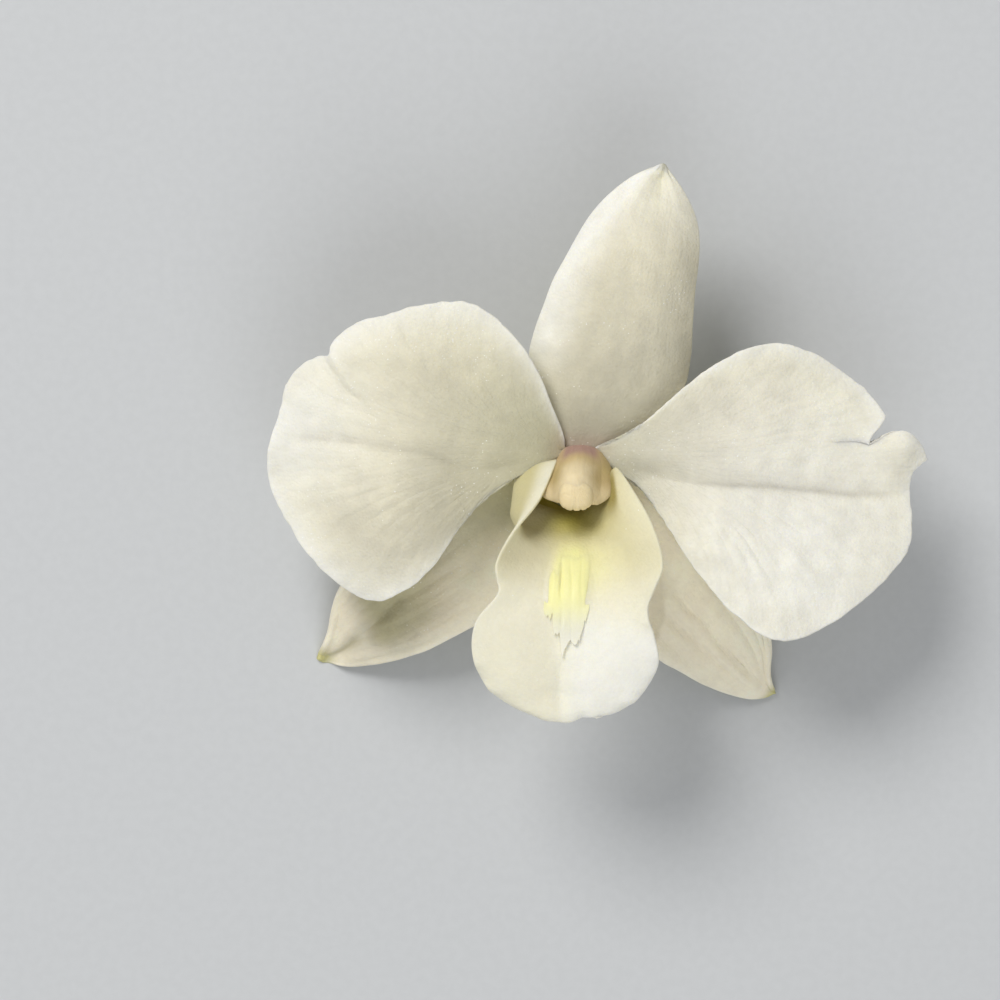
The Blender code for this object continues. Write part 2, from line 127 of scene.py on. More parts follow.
RIM_TURNS = np.radians([30, 60, 90, 120, 150])  # how a sheet's rim is rounded
RIPPLE_CELLS = 97  # cells before the noise repeats
LINE_STEPS, KEEL_STEPS, RIM_STEPS = 8, 6, 5  # steps between the points of a drawn line
FULL_TURN = 2 * math.pi
TINY = 1e-9  # keeps a length off zero

# Rims of the two petals, from the upper corner of the claw round to the lower one.
LEFT_PETAL_RIM = [
    (-1.45, 0.6), (-1.8, 1.8), (-2.35, 3.2), (-3.0, 4.8), (-3.7, 6.6), (-4.7, 8.5), (-5.7, 9.8), (-6.8, 11.1),
    (-8.0, 12.3), (-9.4, 13.2), (-10.8, 13.7), (-12.2, 13.8), (-13.5, 13.65), (-15.1, 13.4),
    (-16.9, 12.95), (-18.7, 12.4), (-20.3, 12.0), (-21.5, 11.4), (-22.5, 10.6), (-23.3, 9.6),
    (-23.5, 8.9), (-24.3, 8.75), (-25.3, 8.35), (-26.3, 7.6), (-27.1, 6.7), (-27.6, 5.7),
    (-27.9, 4.4), (-28.3, 3.0), (-28.8, 1.4), (-29.2, 0.0), (-29.3, -1.6), (-29.0, -3.3),
    (-28.2, -5.3), (-27.3, -6.9), (-26.4, -8.4), (-25.3, -9.9), (-24.0, -11.3), (-22.6, -12.5),
    (-21.2, -13.45), (-19.9, -14.0), (-18.8, -14.1), (-17.6, -13.7), (-16.2, -12.9), (-14.9, -11.95),
    (-13.7, -10.7), (-12.7, -9.3), (-11.8, -7.9), (-10.8, -6.5), (-9.6, -5.0), (-8.2, -3.8),
    (-6.8, -3.0), (-5.1, -2.15), (-3.6, -1.45), (-2.1, -0.8),
]
RIGHT_PETAL_RIM = [
    (1.6, 0.25), (2.4, 0.45), (3.5, 0.85), (5.0, 1.8), (6.6, 3.0), (8.1, 4.35), (9.6, 5.65), (11.1, 6.85),
    (12.7, 7.9), (14.4, 8.85), (16.0, 9.5), (17.7, 9.85), (19.3, 9.85), (20.7, 9.45), (22.1, 8.85),
    (23.6, 8.0), (24.8, 7.15), (25.9, 6.3), (27.0, 5.3), (28.0, 4.2), (28.6, 3.1), (28.1, 2.1),
    (27.4, 1.25), (27.15, 0.7), (27.9, 0.95), (28.9, 1.55), (30.0, 1.84), (31.0, 1.6), (31.8, 0.9),
    (32.3, 0.0), (32.6, -0.8), (31.9, -1.4), (31.2, -2.1), (30.95, -3.3), (31.0, -5.0),
    (31.15, -6.6), (31.1, -8.0), (30.7, -9.3), (29.9, -10.7), (28.7, -12.0), (27.3, -13.3),
    (25.8, -14.6), (24.1, -15.8), (22.3, -16.85), (20.7, -17.55), (19.1, -17.75), (17.7, -17.5),
    (16.4, -16.85), (15.0, -15.75), (13.5, -14.35), (12.1, -12.8), (10.8, -11.0), (9.5, -9.1),
    (8.3, -7.2), (7.1, -5.3), (5.9, -3.7), (4.6, -2.6), (3.2, -1.75), (2.0, -0.95),
]
# How each petal is formed. From its claw it rises, less below the keel (droop), then falls away to its
# end, with a valley along the keel and a bow above and below it. Its tint: how far the claw's green
# reaches (on the left petal it is painted shade as well), a spot of painted light, spots of painted
# shade (middle, width, share), and the painted shade of the keel's line and of the bank above it.
LEFT_PETAL = {
    "seed": 11, "rim": LEFT_PETAL_RIM, "claw": [(-1.15, -0.1), (-1.1, -0.42)],
    "keel": [(2.0, 0.0), (6.0, -1.3), (10.2, -1.8), (14.2, -0.5), (20.2, 0.5), (28.4, 1.5), (30.0, 1.7)],
    "rise": 3.3, "rise_over": 7.5, "droop": 0.35, "fall": 4.2, "valley": 0.46, "valley_width": 1.3,
    "above": -0.005, "below": -0.010,
    "green": 13.5, "painted_light_spot": ((-28.5, 2.5), 8.0), "crease_shade": 0.14, "bank_shade": 0.0,
    "painted_shade": [((-12.0, -7.0), 5.0, 0.26), ((-23.5, -8.0), 3.5, 0.16), ((-12.5, -2.5), 3.5, 0.14)],
}
RIGHT_PETAL = {
    "seed": 31, "rim": RIGHT_PETAL_RIM, "claw": [(1.25, -0.12), (1.15, -0.45)],
    "keel": [(2.0, 0.0), (7.9, -2.6), (12.7, -3.3), (18.3, -3.6), (21.9, -3.9), (26.1, -4.3), (33.0, -3.8)],
    "rise": 2.3, "rise_over": 4.5, "droop": 0.65, "fall": 2.2, "valley": 0.90, "valley_width": 2.2,
    "above": -0.006, "below": 0.002, "notch": (27.15, 0.7),
    "green": 9.5, "painted_light_spot": ((20.0, -8.0), 16.0), "crease_shade": 0.22, "bank_shade": 0.16,
    "painted_shade": [((9.5, 1.5), 4.8, 0.20), ((16.0, 4.0), 5.0, 0.06), ((30.6, -2.3), 1.4, 0.36)],
}
PETAL_ROWS = 72
CALMING = 400  # rounds that take the small ins and outs from a rim
NOTCH_RAYS = 40  # rays held to their own side of a notch, on either side of it
SLIT_EASE = 0.18  # how softly they are turned back from its slit
NOTCH_EASE = 12  # rays to either side over which the heights near a notch are evened
# Where one lobe of a petal lies over the next: the line runs in from the rim, the upper lobe to its left.
LEFT_PETAL_FOLD = [(-23.9, 9.3), (-22.9, 7.6), (-21.4, 5.7), (-19.1, 3.9), (-16.0, 2.7), (-12.0, 1.9)]
RIGHT_PETAL_FOLD = [(24.0, -2.9), (27.0, -2.6), (29.2, -2.2), (30.8, -1.75), (32.6, -1.2)]
RIGHT_PETAL_TONGUE = [(25.5, 0.0), (28.0, 0.3), (30.2, 0.5), (32.4, -0.3)]  # along the lobe by the notch

# Edges of the upper sepal, both from its foot to its tip.
UPPER_SEPAL_LEFT = [
    (-1.7, 0.1), (-3.0, 3.0), (-4.2, 5.7), (-4.65, 8.7), (-4.1, 11.3), (-3.3, 13.5), (-2.35, 16.0),
    (-1.25, 18.0), (-0.15, 20.0), (0.94, 21.8), (2.4, 23.55), (4.2, 25.1), (5.9, 26.1), (7.6, 26.65),
]
UPPER_SEPAL_RIGHT = [
    (1.6, 0.1), (4.2, 1.6), (7.4, 3.2), (9.6, 5.7), (10.3, 8.6), (10.5, 12.2), (10.7, 14.9),
    (10.95, 17.0), (11.1, 19.0), (11.05, 20.6), (10.75, 22.0), (10.1, 23.5), (9.2, 25.0), (8.0, 26.6),
]
UPPER_SEPAL_SEED = 51
SEPAL_ROWS, SEPAL_COLUMNS = 110, 64

# Lateral sepals: (upper edge, keel, lower edge) at stations from the apex of the chin to the tip.
CHIN = [
    ((0.06, -7.1, -13.35), (0.34, -7.5, -13.5), (0.06, -7.9, -13.35)),
    ((0.60, -6.45, -12.5), (1.35, -7.4, -12.6), (0.09, -8.7, -12.5)),
    ((0.90, -5.5, -10.6), (1.70, -7.1, -10.6), (0.09, -9.3, -10.8)),
    ((1.10, -4.2, -7.9), (2.7, -7.3, -8.2), (0.09, -11.3, -8.6)),
    ((1.36, -2.75, -4.6), (3.9, -7.2, -5.6), (0.11, -12.5, -6.5)),
    ((1.58, -1.1, -0.8), (5.2, -7.2, -3.5), (0.30, -12.9, -4.8)),
]
LEFT_BLADE = [
    ((-5.4, -1.8, -1.1), (-8.0, -8.3, -3.8), (-3.4, -13.8, -5.0)),
    ((-12.6, -5.0, -3.6), (-12.2, -11.4, -5.2), (-9.4, -16.3, -6.4)),
    ((-18.8, -8.9, -6.2), (-17.3, -14.7, -7.6), (-15.0, -19.1, -8.6)),
    ((-22.9, -13.4, -9.4), (-21.3, -17.3, -10.6), (-19.3, -20.3, -11.2)),
    ((-24.0, -17.6, -12.0), (-23.3, -19.1, -12.5), (-22.4, -20.6, -12.8)),
    ((-25.0, -19.7, -13.2), (-24.9, -19.9, -13.25), (-24.75, -20.15, -13.25)),
]
RIGHT_BLADE = [
    ((5.4, -2.2, -1.1), (7.2, -9.0, -3.6), (2.8, -14.8, -5.0)),
    ((11.8, -6.8, -3.6), (10.4, -13.0, -5.2), (6.2, -18.6, -6.6)),
    ((16.2, -11.8, -6.2), (13.7, -17.0, -7.6), (9.8, -21.0, -8.8)),
    ((18.2, -17.4, -9.4), (16.2, -20.4, -10.6), (13.6, -22.9, -11.4)),
    ((18.3, -21.2, -12.1), (17.6, -22.4, -12.6), (16.6, -23.7, -12.8)),
    ((18.85, -23.0, -13.2), (18.75, -23.2, -13.25), (18.55, -23.45, -13.25)),
]
LATERAL_STEPS, LATERAL_COLUMNS = 13, 54
LATERAL_TIP = 11.0  # the tip's station
LEFT_LATERAL_SEED, RIGHT_LATERAL_SEED = 61, 71
# Creases in the lateral sepals: (line, height, half width).
LEFT_CREASES = [
    ([
        (-25.2, -20.2), (-23.2, -19.5), (-21.4, -18.2), (-19.6, -16.6), (-18.2, -15.0), (-16.5, -13.5)
    ], -0.75, 0.95),
    ([(-19.6, -18.2), (-18.9, -17.4), (-18.0, -16.8)], 0.30, 0.8),
]
RIGHT_CREASES = [
    ([
        (8.1, -12.8), (9.4, -15.2), (11.3, -16.7), (12.6, -18.6), (13.95, -19.9), (15.8, -21.8), (17.6, -22.9)
    ], 0.30, 0.6),
    ([(8.7, -12.3), (10.1, -14.7), (12.0, -16.2), (13.2, -18.0), (14.6, -19.4), (16.4, -21.3)], -0.16, 0.55),
]
# Where the lip's shadow is painted on the right lateral sepal, beside the lip.
RIGHT_SEPAL_LIP_SHADOW = [(8.0, -12.0), (8.3, -14.5), (8.2, -16.0), (7.7, -17.6), (6.8, -19.4)]

# The lip: (middle line, left rim, right rim, how far each wall bulges past its rim) from its claw in
# the chin to its tip.
LIP = [
    ((0.0, -8.0, -11.2), (-0.65, -7.9, -11.2), (0.65, -7.9, -11.2), (0.0, 0.0)),
    ((0.0, -7.5, -8.2), (-0.95, -7.2, -8.2), (0.95, -7.2, -8.2), (0.0, 0.0)),
    ((0.0, -7.1, -4.6), (-1.9, -6.2, -4.4), (1.9, -6.2, -4.4), (0.2, 0.2)),
    ((0.0, -6.1, -1.4), (-3.2, -3.8, -0.6), (3.4, -4.1, -0.6), (0.8, 0.5)),
    ((-0.2, -6.1, 0.9), (-2.25, -1.05, 2.1), (3.3, -1.8, 3.0), (7.5, -0.3)),
    ((-0.4, -8.0, 2.5), (-3.85, -4.6, 5.0), (4.95, -4.1, 5.4), (6.0, -0.6)),
    ((-0.7, -10.1, 4.3), (-6.2, -7.6, 7.0), (6.7, -7.4, 7.0), (1.2, 0.2)),
    ((-1.0, -12.0, 5.6), (-7.8, -10.9, 7.9), (7.5, -11.0, 8.2), (0.6, 0.6)),
    ((-1.3, -13.8, 6.6), (-7.5, -13.2, 7.8), (6.1, -14.7, 8.0), (0.3, 0.3)),
    ((-1.5, -16.2, 7.2), (-9.6, -16.0, 7.4), (6.7, -17.3, 7.6), (0.2, 0.2)),
    ((-1.7, -19.0, 7.1), (-9.9, -19.3, 6.6), (7.1, -20.0, 6.6), (0.1, 0.1)),
    ((-1.8, -22.0, 6.4), (-8.3, -22.6, 5.6), (5.6, -22.9, 5.6), (0.0, 0.0)),
    ((-1.8, -24.3, 5.4), (-5.0, -24.55, 5.0), (3.6, -24.4, 5.0), (0.0, 0.0)),
    ((-1.6, -25.25, 4.9), (-3.3, -25.15, 4.8), (1.6, -24.95, 4.8), (0.0, 0.0)),
]
LIP_STEPS, LIP_COLUMNS = 13, 58
LIP_SEED = 81
LIP_CLAW_END = 3.6  # the station after which the lip is open and its crest may stand

# The crest's cushion: (y, left side, right side, height) from the throat to the fringe, and its furrows:
# (x, share of the height, half width).
CREST = [
    (-7.4, -1.6, -0.2, 0.0), (-8.6, -2.2, 0.6, 0.16), (-10.0, -2.7, 1.0, 0.32), (-11.5, -3.0, 1.0, 0.48),
    (-12.8, -3.15, 0.85, 0.52), (-14.0, -3.2, 0.75, 0.40), (-15.0, -3.0, 0.6, 0.20), (-15.9, -2.8, 0.4, 0.0),
]
CREST_FURROWS = [(-1.78, 0.36, 0.17), (-2.65, 0.10, 0.14), (-0.90, 0.10, 0.15), (0.08, 0.10, 0.16)]
# The crest's upper skin: where it rises out of the lip, where its teeth part, and how far forward they reach.
FRINGE_TOP, FRINGE_SPLIT = -8.2, -14.1
FRINGE_ROWS, FRINGE_COLUMNS = 90, 260
FRINGE_SKIN = 0.6  # the share of its rows above the teeth
FRINGE = [
    (-3.46, -14.3), (-3.40, -15.1), (-3.22, -15.5), (-3.05, -15.3), (-2.92, -15.85), (-2.78, -15.6),
    (-2.66, -15.1), (-2.58, -15.4), (-2.50, -16.7), (-2.40, -17.3), (-2.26, -17.0), (-2.12, -17.2),
    (-1.98, -16.9), (-1.90, -17.6), (-1.84, -18.6), (-1.74, -19.35), (-1.60, -19.0), (-1.46, -18.5),
    (-1.30, -18.2), (-1.14, -17.85), (-0.98, -17.65), (-0.80, -17.95), (-0.55, -18.15), (-0.40, -18.0),
    (-0.28, -17.6), (-0.14, -17.8), (-0.02, -17.3), (0.10, -16.9), (0.18, -16.6), (0.28, -16.2),
    (0.36, -15.8), (0.46, -16.0), (0.60, -15.5), (0.70, -15.1), (0.78, -14.7), (0.82, -14.2),
]

# The column: (left edge, ridge, right edge, thickness, swell to the back, swell to the front, how flat)
# from the tip of its foot, up to the heart and out to the anther.
COLUMN = [
    ((-0.60, -6.9, -12.1), (0.0, -6.9, -12.1), (0.60, -6.9, -12.1), 0.2, 0.55, 0.20, 0.0),
    ((-1.05, -6.1, -10.2), (0.0, -6.1, -10.2), (1.05, -6.1, -10.2), 0.2, 0.95, 0.30, 0.0),
    ((-1.32, -5.0, -7.6), (0.0, -5.0, -7.6), (1.32, -5.0, -7.6), 0.2, 1.10, 0.40, 0.0),
    ((-1.55, -3.7, -4.9), (0.0, -3.7, -4.9), (1.55, -3.7, -4.9), 0.2, 1.15, 0.50, 0.0),
    ((-1.70, -2.3, -2.2), (0.0, -2.3, -2.2), (1.70, -2.3, -2.2), 0.2, 1.20, 0.80, 0.0),
    ((-1.62, -1.1, -0.2), (0.05, -1.1, -0.2), (1.72, -1.1, -0.2), 0.2, 1.32, 1.10, 0.0),
    ((-1.78, -1.1, 1.2), (0.0, -1.1, 1.5), (2.10, -1.2, 1.2), 0.3, 1.38, 0.95, 0.1),
    ((-2.40, -1.8, 2.2), (-0.12, -1.8, 2.9), (2.85, -1.75, 2.2), 0.4, 1.40, 0.45, 0.6),
    ((-3.10, -2.9, 3.1), (-0.28, -2.6, 3.7), (2.88, -2.7, 3.1), 0.44, 1.62, 0.05, 1.0),
    ((-3.58, -3.95, 3.7), (-0.38, -3.4, 4.2), (2.90, -3.7, 3.7), 0.44, 2.0, 0.0, 1.0),
    ((-3.20, -4.5, 4.0), (-0.42, -4.2, 4.6), (2.62, -4.4, 4.0), 0.42, 1.62, 0.0, 1.0),
    ((-2.30, -4.7, 4.2), (-0.42, -4.7, 4.75), (1.60, -5.05, 4.2), 0.40, 0.5, 0.0, 1.0),
]
COLUMN_STEPS, COLUMN_COLUMNS = 10, 61
RIDGE_HALF = (1.75, 2.25)  # half the width of the column's ridge, at its foot and at the anther
COLUMN_SEED = 91

# The anther cap, drawn with its crown up and its free end at -Y, and the pollinia under it.
CAP_MIDDLE = Vector((-0.42, -4.3, 5.45))
CAP_LEAN = math.radians(-8)  # its crown leans back this far from straight up
CAP_RADII = (1.6, 1.42, 1.0)  # across, along the column to its free end, high
CAP_BACK = 1.7  # from its middle back along the ridge
CAP_WALL = 0.36
CAP_SIDES = 150
CAP_OUTSIDE = np.linspace(-0.12, 0.985, 26)  # from below its rim, 0, to its crown, 1
CAP_INSIDE = np.linspace(0.93, -0.02, 14)
CAP_NICKS = [(-1.05, 0.03), (-0.30, 0.07), (0.46, 0.07), (1.1, 0.04)]  # nicks in its free edge: (x, depth)
CAP_SEED = 95
POLLINIUM_RADII = (0.17, 0.50, 0.22)
POLLINIUM_PITCH = 0.42  # from one to the next
POLLINIUM_HEIGHT = 0.28  # over the cap's middle
POLLINIUM_SIDES, POLLINIUM_RINGS = 20, 17
POLLINIUM_POLE = 86  # degrees from its waist to its last ring

# The stalk: (axis, radius) from the ovary's head, in among the sepals' feet, to the cut end.
STALK = [
    ((0.0, 0.60, -0.95), 1.45),
    ((0.0, 0.80, -1.55), 1.76),
    ((0.0, 1.15, -2.7), 1.58),
    ((0.0, 1.65, -3.9), 1.40),
    ((0.15, 3.2, -5.9), 1.22),
    ((0.7, 5.6, -8.9), 1.15),
    ((1.8, 8.8, -11.2), 1.14),
    ((3.3, 12.6, -12.3), 1.14),
    ((4.9, 16.4, -12.5), 1.17),
    ((6.3, 20.2, -12.4), 1.27),
]
# The rings over its cut end: (share of the radius, how far out).
CUT_END = [(0.97, 0.05), (0.86, 0.02), (0.78, -0.05), (0.62, 0.0), (0.42, -0.03), (0.18, 0.0)]
STALK_SIDES, STALK_STEPS = 72, 16
STALK_SEED = 101

CAMERA_ASIDE = (-7.5, -4.7)  # from the heart, so that the flower stands right of the picture's middle
SENSOR_WIDTH = 36
KEY_LAMP = {"size": 0.45, "color": (1.0, 0.985, 0.955)}
FILL_LAMP = {"size": 0.8, "color": (0.96, 0.98, 1.0)}


# ---------------------------------------------------------------- drawing
#
# The numbers in ramp, span, hump and spot are millimetres over the plan, stations along a piece, or
# shares of its width; those in front of them are heights in millimetres, or weights of a tint.


def spline(points, steps):
    """A smooth curve through the points, with this many steps between each and the next."""
    points = np.asarray(points, float)
    gaps = np.maximum(np.linalg.norm(np.diff(points, axis=0), axis=1), TINY)[:, None] ** 0.5
    slopes = np.diff(points, axis=0) / gaps
    tangents = np.empty_like(points)
    tangents[1:-1] = (slopes[:-1] * gaps[1:] + slopes[1:] * gaps[:-1]) / (gaps[1:] + gaps[:-1])
    tangents[0] = 2 * slopes[0] - tangents[1]
    tangents[-1] = 2 * slopes[-1] - tangents[-2]
    t = np.linspace(0, 1, steps, endpoint=False)[:, None]
    parts = [
        a * (2 * t**3 - 3 * t**2 + 1) + b * (3 * t**2 - 2 * t**3)
        + leave * gap * (t**3 - 2 * t**2 + t) + arrive * gap * (t**3 - t**2)
        for a, b, leave, arrive, gap in zip(points, points[1:], tangents, tangents[1:], gaps)
    ]
    return np.concatenate([*parts, points[-1:]])


def splines(stations, steps):
    """The three curves that run along a piece, through its stations."""
    return (spline([station[k] for station in stations], steps) for k in range(3))


def evened(line, count):
    """The line as this many points, evenly spaced along it."""
    far = np.concatenate([[0], np.cumsum(np.linalg.norm(np.diff(line, axis=0), axis=1))])
    at = np.linspace(0, far[-1], count)
    return np.stack([np.interp(at, far, line[:, k]) for k in range(line.shape[1])], axis=1)


def arched(left, ridge, right, t):
    """Points across at each station, from the left by the ridge to the right."""
    sides = left[:, None] * (1 - t) * (1 - 2 * t) + ridge[:, None] * 4 * t * (1 - t)
    return sides + right[:, None] * t * (2 * t - 1)


def ramp(value, start, end):
    """0 before start, 1 after end, smooth between."""
    t = np.clip((value - start) / (end - start), 0, 1)
    return t * t * (3 - 2 * t)


def span(value, start, full, fade, end):
    """1 between full and fade, and 0 before start and after end, smooth between."""
    return ramp(value, start, full) * (1 - ramp(value, fade, end))


def hump(value, middle, width):
    """1 at the middle, falling away to either side."""
    return np.exp(-(((value - middle) / width) ** 2))


def spot(x, y, middle, width):
    """1 at a point of the plan, falling away all round."""
    return hump(np.hypot(x - middle[0], y - middle[1]), 0, width)


def calmed(line, rounds):
    """The line with its small ins and outs smoothed away, its ends held."""
    line = line.copy()
    for _ in range(rounds):
        line[1:-1] = (line[:-2] + 2 * line[1:-1] + line[2:]) / 4
    return line


def ripple(seed, x, y):
    """Smooth noise from about -1 to 1, over cells one wide."""
    x, y = np.broadcast_arrays(np.asarray(x, float), np.asarray(y, float))
    angles = np.random.default_rng(seed).uniform(0, FULL_TURN, (RIPPLE_CELLS, RIPPLE_CELLS))
    left, low = np.floor(x).astype(int), np.floor(y).astype(int)
    u, v = x - left, y - low

    def corner(i, j):
        turn = angles[(left + i) % RIPPLE_CELLS, (low + j) % RIPPLE_CELLS]
        return np.cos(turn) * (u - i) + np.sin(turn) * (v - j)

    eu, ev = (t**3 * (t * (t * 6 - 15) + 10) for t in (u, v))
    near = corner(0, 0) * (1 - eu) + corner(1, 0) * eu
    far = corner(0, 1) * (1 - eu) + corner(1, 1) * eu
    return 1.5 * (near * (1 - ev) + far * ev)


def ripples(seed, x, y, *layers):
    """Layers of noise, each with the next seed: (height, width of its cells along x, and along y)."""
    return sum(height * ripple(seed + i, x / wide, y / tall) for i, (height, wide, tall) in enumerate(layers))


def beside(flat, line):
    """How far points lie to the left of a line (to its right, less than 0), and how far along it, 0 to 1."""
    line = spline(line, LINE_STEPS)
    steps = np.diff(line, axis=0)
    gaps = flat[..., None, :] - line[:-1]
    share = np.clip((gaps * steps).sum(-1) / (steps**2).sum(-1), 0, 1)
    distance = np.linalg.norm(gaps - share[..., None] * steps, axis=-1)
    turn = steps[:, 0] * gaps[..., 1] - steps[:, 1] * gaps[..., 0]
    nearest = distance.argmin(-1)[..., None]
    turn, distance, share = (
        np.take_along_axis(each, nearest, -1)[..., 0] for each in (turn, distance, share)
    )
    return np.sign(turn) * distance, (nearest[..., 0] + share) / len(steps)


def unit(vectors):
    """The vectors brought to a length of one."""
    return vectors / np.maximum(np.linalg.norm(vectors, axis=-1, keepdims=True), TINY)


def normals_of(grid):
    """Unit normals of a grid of points, on the side that faces up at its middle."""
    normals = unit(np.cross(np.gradient(grid, axis=0), np.gradient(grid, axis=1)))
    middle = normals[len(grid) // 2, grid.shape[1] // 2]
    return normals if middle[2] > 0 else -normals


# ---------------------------------------------------------------- pieces


def drawn(name):
    """One of the panel's sizes, in drawing millimetres."""
    return getattr(bpy.context.scene.orchid_sizes, name) / UNIT


def placed(name, data):
    """An object that holds this data, put in the scene."""
    made = bpy.data.objects.new(name, data)
    bpy.context.scene.collection.objects.link(made)
    return made


def piece(name, points, faces, growth, tint):
    """A piece of the flower over its solid, with the growth lines and tint of each point."""
    node, slot, skin = PIECES[name]
    points = np.array(points, float).reshape(-1, 3)
    points[:, 2] = np.maximum(points[:, 2], -DRAWN_REACH["down"])
    mesh = bpy.data.meshes.new(name)
    mesh.from_pydata((points * UNIT + np.array(HEART)).tolist(), [], faces)
    shape = bmesh.new()
    shape.from_mesh(mesh)
    bmesh.ops.recalc_face_normals(shape, faces=shape.faces)
    shape.to_mesh(mesh)
    shape.free()
    mesh.shade_smooth()
    for label, kind, key, width, values in (
        ("growth", "FLOAT_VECTOR", "vector", 3, growth),
        ("tint", "FLOAT_COLOR", "color", 4, tint),
    ):
        values = np.asarray(values, float).reshape(len(points), -1)
        values = np.pad(values, ((0, 0), (0, width - values.shape[1])))
        mesh.attributes.new(label, kind, "POINT").data.foreach_set(key, values.astype(np.float32).reshape(-1))
    mesh.materials.append(finish(skin))
    made = placed(name, mesh)
    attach(made, "root")
    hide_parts(node)


def grid_faces(rows, columns, start=0):
    """The faces between neighbouring points of a grid."""
    a = (np.arange(rows - 1)[:, None] * columns + np.arange(columns - 1)[None]).reshape(-1) + start
    return np.stack([a, a + 1, a + columns + 1, a + columns], axis=1)


def ring_faces(count, sides, gap=-1):
    """The faces from each ring of points to the next, the last joined to the first.

    After one ring, the last unless another is given, there is a gap with a cap on either side.
    """
    gap %= count
    near = np.arange(sides)
    after = np.roll(near, -1)
    faces = [(end * sides + near).tolist() for end in sorted((gap, (gap + 1) % count))]
    for i in range(count):
        n = (i + 1) % count
        if i != gap:
            corners = (i * sides + near, i * sides + after, n * sides + after, n * sides + near)
            faces += np.stack(corners, axis=1).tolist()
    return faces


def sheet(name, middle, thickness, tint, under_tint, relief=0.0, under_relief=0.0, fan=None, normals=None):
    """A closed sheet about a grid of points, rounded all round its rim."""
    rows, columns = middle.shape[:2]
    normals = normals_of(middle) if normals is None else normals
    upper = middle + normals * (thickness / 2 + relief)[..., None]
    lower = middle - normals * (thickness / 2 + under_relief)[..., None]
    across, down = np.arange(columns), np.arange(1, rows)
    i = np.concatenate([0 * across, down, 0 * across[1:] + rows - 1, down[-2::-1]])
    j = np.concatenate([across, 0 * down + columns - 1, across[-2::-1], 0 * down[1:]])
    centre, lift = (upper[i, j] + lower[i, j]) / 2, (upper[i, j] - lower[i, j]) / 2
    outward = middle[i, j] - middle[np.clip(i, 1, rows - 2), np.clip(j, 1, columns - 2)]
    outward = unit(outward - unit(lift) * (outward * unit(lift)).sum(1, keepdims=True))
    reach = np.linalg.norm(lift, axis=1, keepdims=True)
    u, v = np.meshgrid(np.linspace(0, 1, columns) if fan is None else fan, np.linspace(0, 1, rows))
    growth_up, growth_down = (np.dstack([u, v, face * np.ones_like(u)]) for face in (1, -1))
    size, around = rows * columns, np.arange(len(i))
    points, growth, tints = ([grid.reshape(size, -1)] for grid in (upper, growth_up, tint))
    for turn in RIM_TURNS:
        share = (1 - math.cos(turn)) / 2
        points.append(centre + lift * math.cos(turn) + outward * reach * math.sin(turn))
        growth.append(growth_up[i, j] * (1 - share) + growth_down[i, j] * share)
        tints.append(tint[i, j] * (1 - share) + under_tint[i, j] * share)
    for parts, grid in ((points, lower), (growth, growth_down), (tints, under_tint)):
        parts.append(grid.reshape(size, -1))
    under = size + len(RIM_TURNS) * len(i)
    loops = [i * columns + j]
    loops += [size + k * len(i) + around for k in range(len(RIM_TURNS))]
    loops.append(under + i * columns + j)
    faces = [grid_faces(rows, columns), grid_faces(rows, columns, under)[:, ::-1]]
    for one, other in zip(loops, loops[1:]):
        faces.append(np.stack([one, other, np.roll(other, -1), np.roll(one, -1)], axis=1))
    points, faces, growth, tints = (np.concatenate(parts) for parts in (points, faces, growth, tints))
    piece(name, points, faces.tolist(), growth, tints)


def weights(*channels):
    """A tint, from an array for each of its tones; those not given are 0."""
    channels = np.broadcast_arrays(*channels, *[0.0] * (4 - len(channels)))
    return np.clip(np.dstack(channels), 0, 1)


# ---------------------------------------------------------------- finishes


def tone(name):
    """One of the panel's colours."""
    return getattr(bpy.context.scene.orchid_colours, name)


class Nodes:
    """Adds nodes to a material, or to the world, and joins them."""

    def __init__(self, owner, shader="Principled BSDF"):
        owner.use_nodes = True
        self.owner = owner
        self.tree = owner.node_tree
        self.shader = self.tree.nodes[shader]

    def add(self, kind, sockets=None, **settings):
        node = self.tree.nodes.new("ShaderNode" + kind)
        for name, value in settings.items():
            setattr(node, name, value)
        for name, value in (sockets or {}).items():
            self.give(node.inputs[name], value)
        return node.outputs

    def give(self, socket, value):
        if isinstance(value, bpy.types.NodeSocket):
            self.tree.links.new(value, socket)
        else:
            socket.default_value = value

    def shade(self, **sockets):
        """Gives the shader's sockets these values, with _ for a space in a name."""
        for name, value in sockets.items():
            self.give(self.shader.inputs[name.replace("_", " ")], value)

    def mix(self, factor, one, other, kind="MIX"):
        sockets = {0: factor}
        for place, value in ((6, one), (7, other)):
            sockets[place] = value if isinstance(value, bpy.types.NodeSocket) else (*value, 1.0)
        return self.add("Mix", sockets, data_type="RGBA", blend_type=kind, clamp_result=kind == "MIX")[2]

    def maths(self, operation, one, other):
        return self.add("Math", {0: one, 1: other}, operation=operation)[0]

    def plus(self, one, other):
        return self.maths("ADD", one, other)

    def times(self, one, other):
        return self.maths("MULTIPLY", one, other)

    def fit(self, value, low, high, to_low=0.0, to_high=1.0):
        ends = {"From Min": low, "From Max": high, "To Min": to_low, "To Max": to_high}
        return self.add("MapRange", {"Value": value, **ends}, interpolation_type="SMOOTHSTEP")[0]

    def noise(self, where, cell, detail=2.0):
        """Noise whose patches are about `cell` metres wide."""
        return self.add("TexNoise", {"Vector": where, "Scale": 1 / cell, "Detail": detail})[0]

    def cells(self, where, width):
        """Cells of this width: how far a point is from its own one's middle, and that one's lot, 0 to 1."""
        cells = self.add("TexVoronoi", {"Vector": where, "Scale": 1 / width, "Randomness": 1.0})
        return cells["Distance"], self.add("SeparateColor", {"Color": cells["Color"]})["Red"]

    def bump(self, height, strength, distance, **below):
        sockets = {"Height": height, "Strength": strength, "Distance": distance, **below}
        return self.add("Bump", sockets)["Normal"]


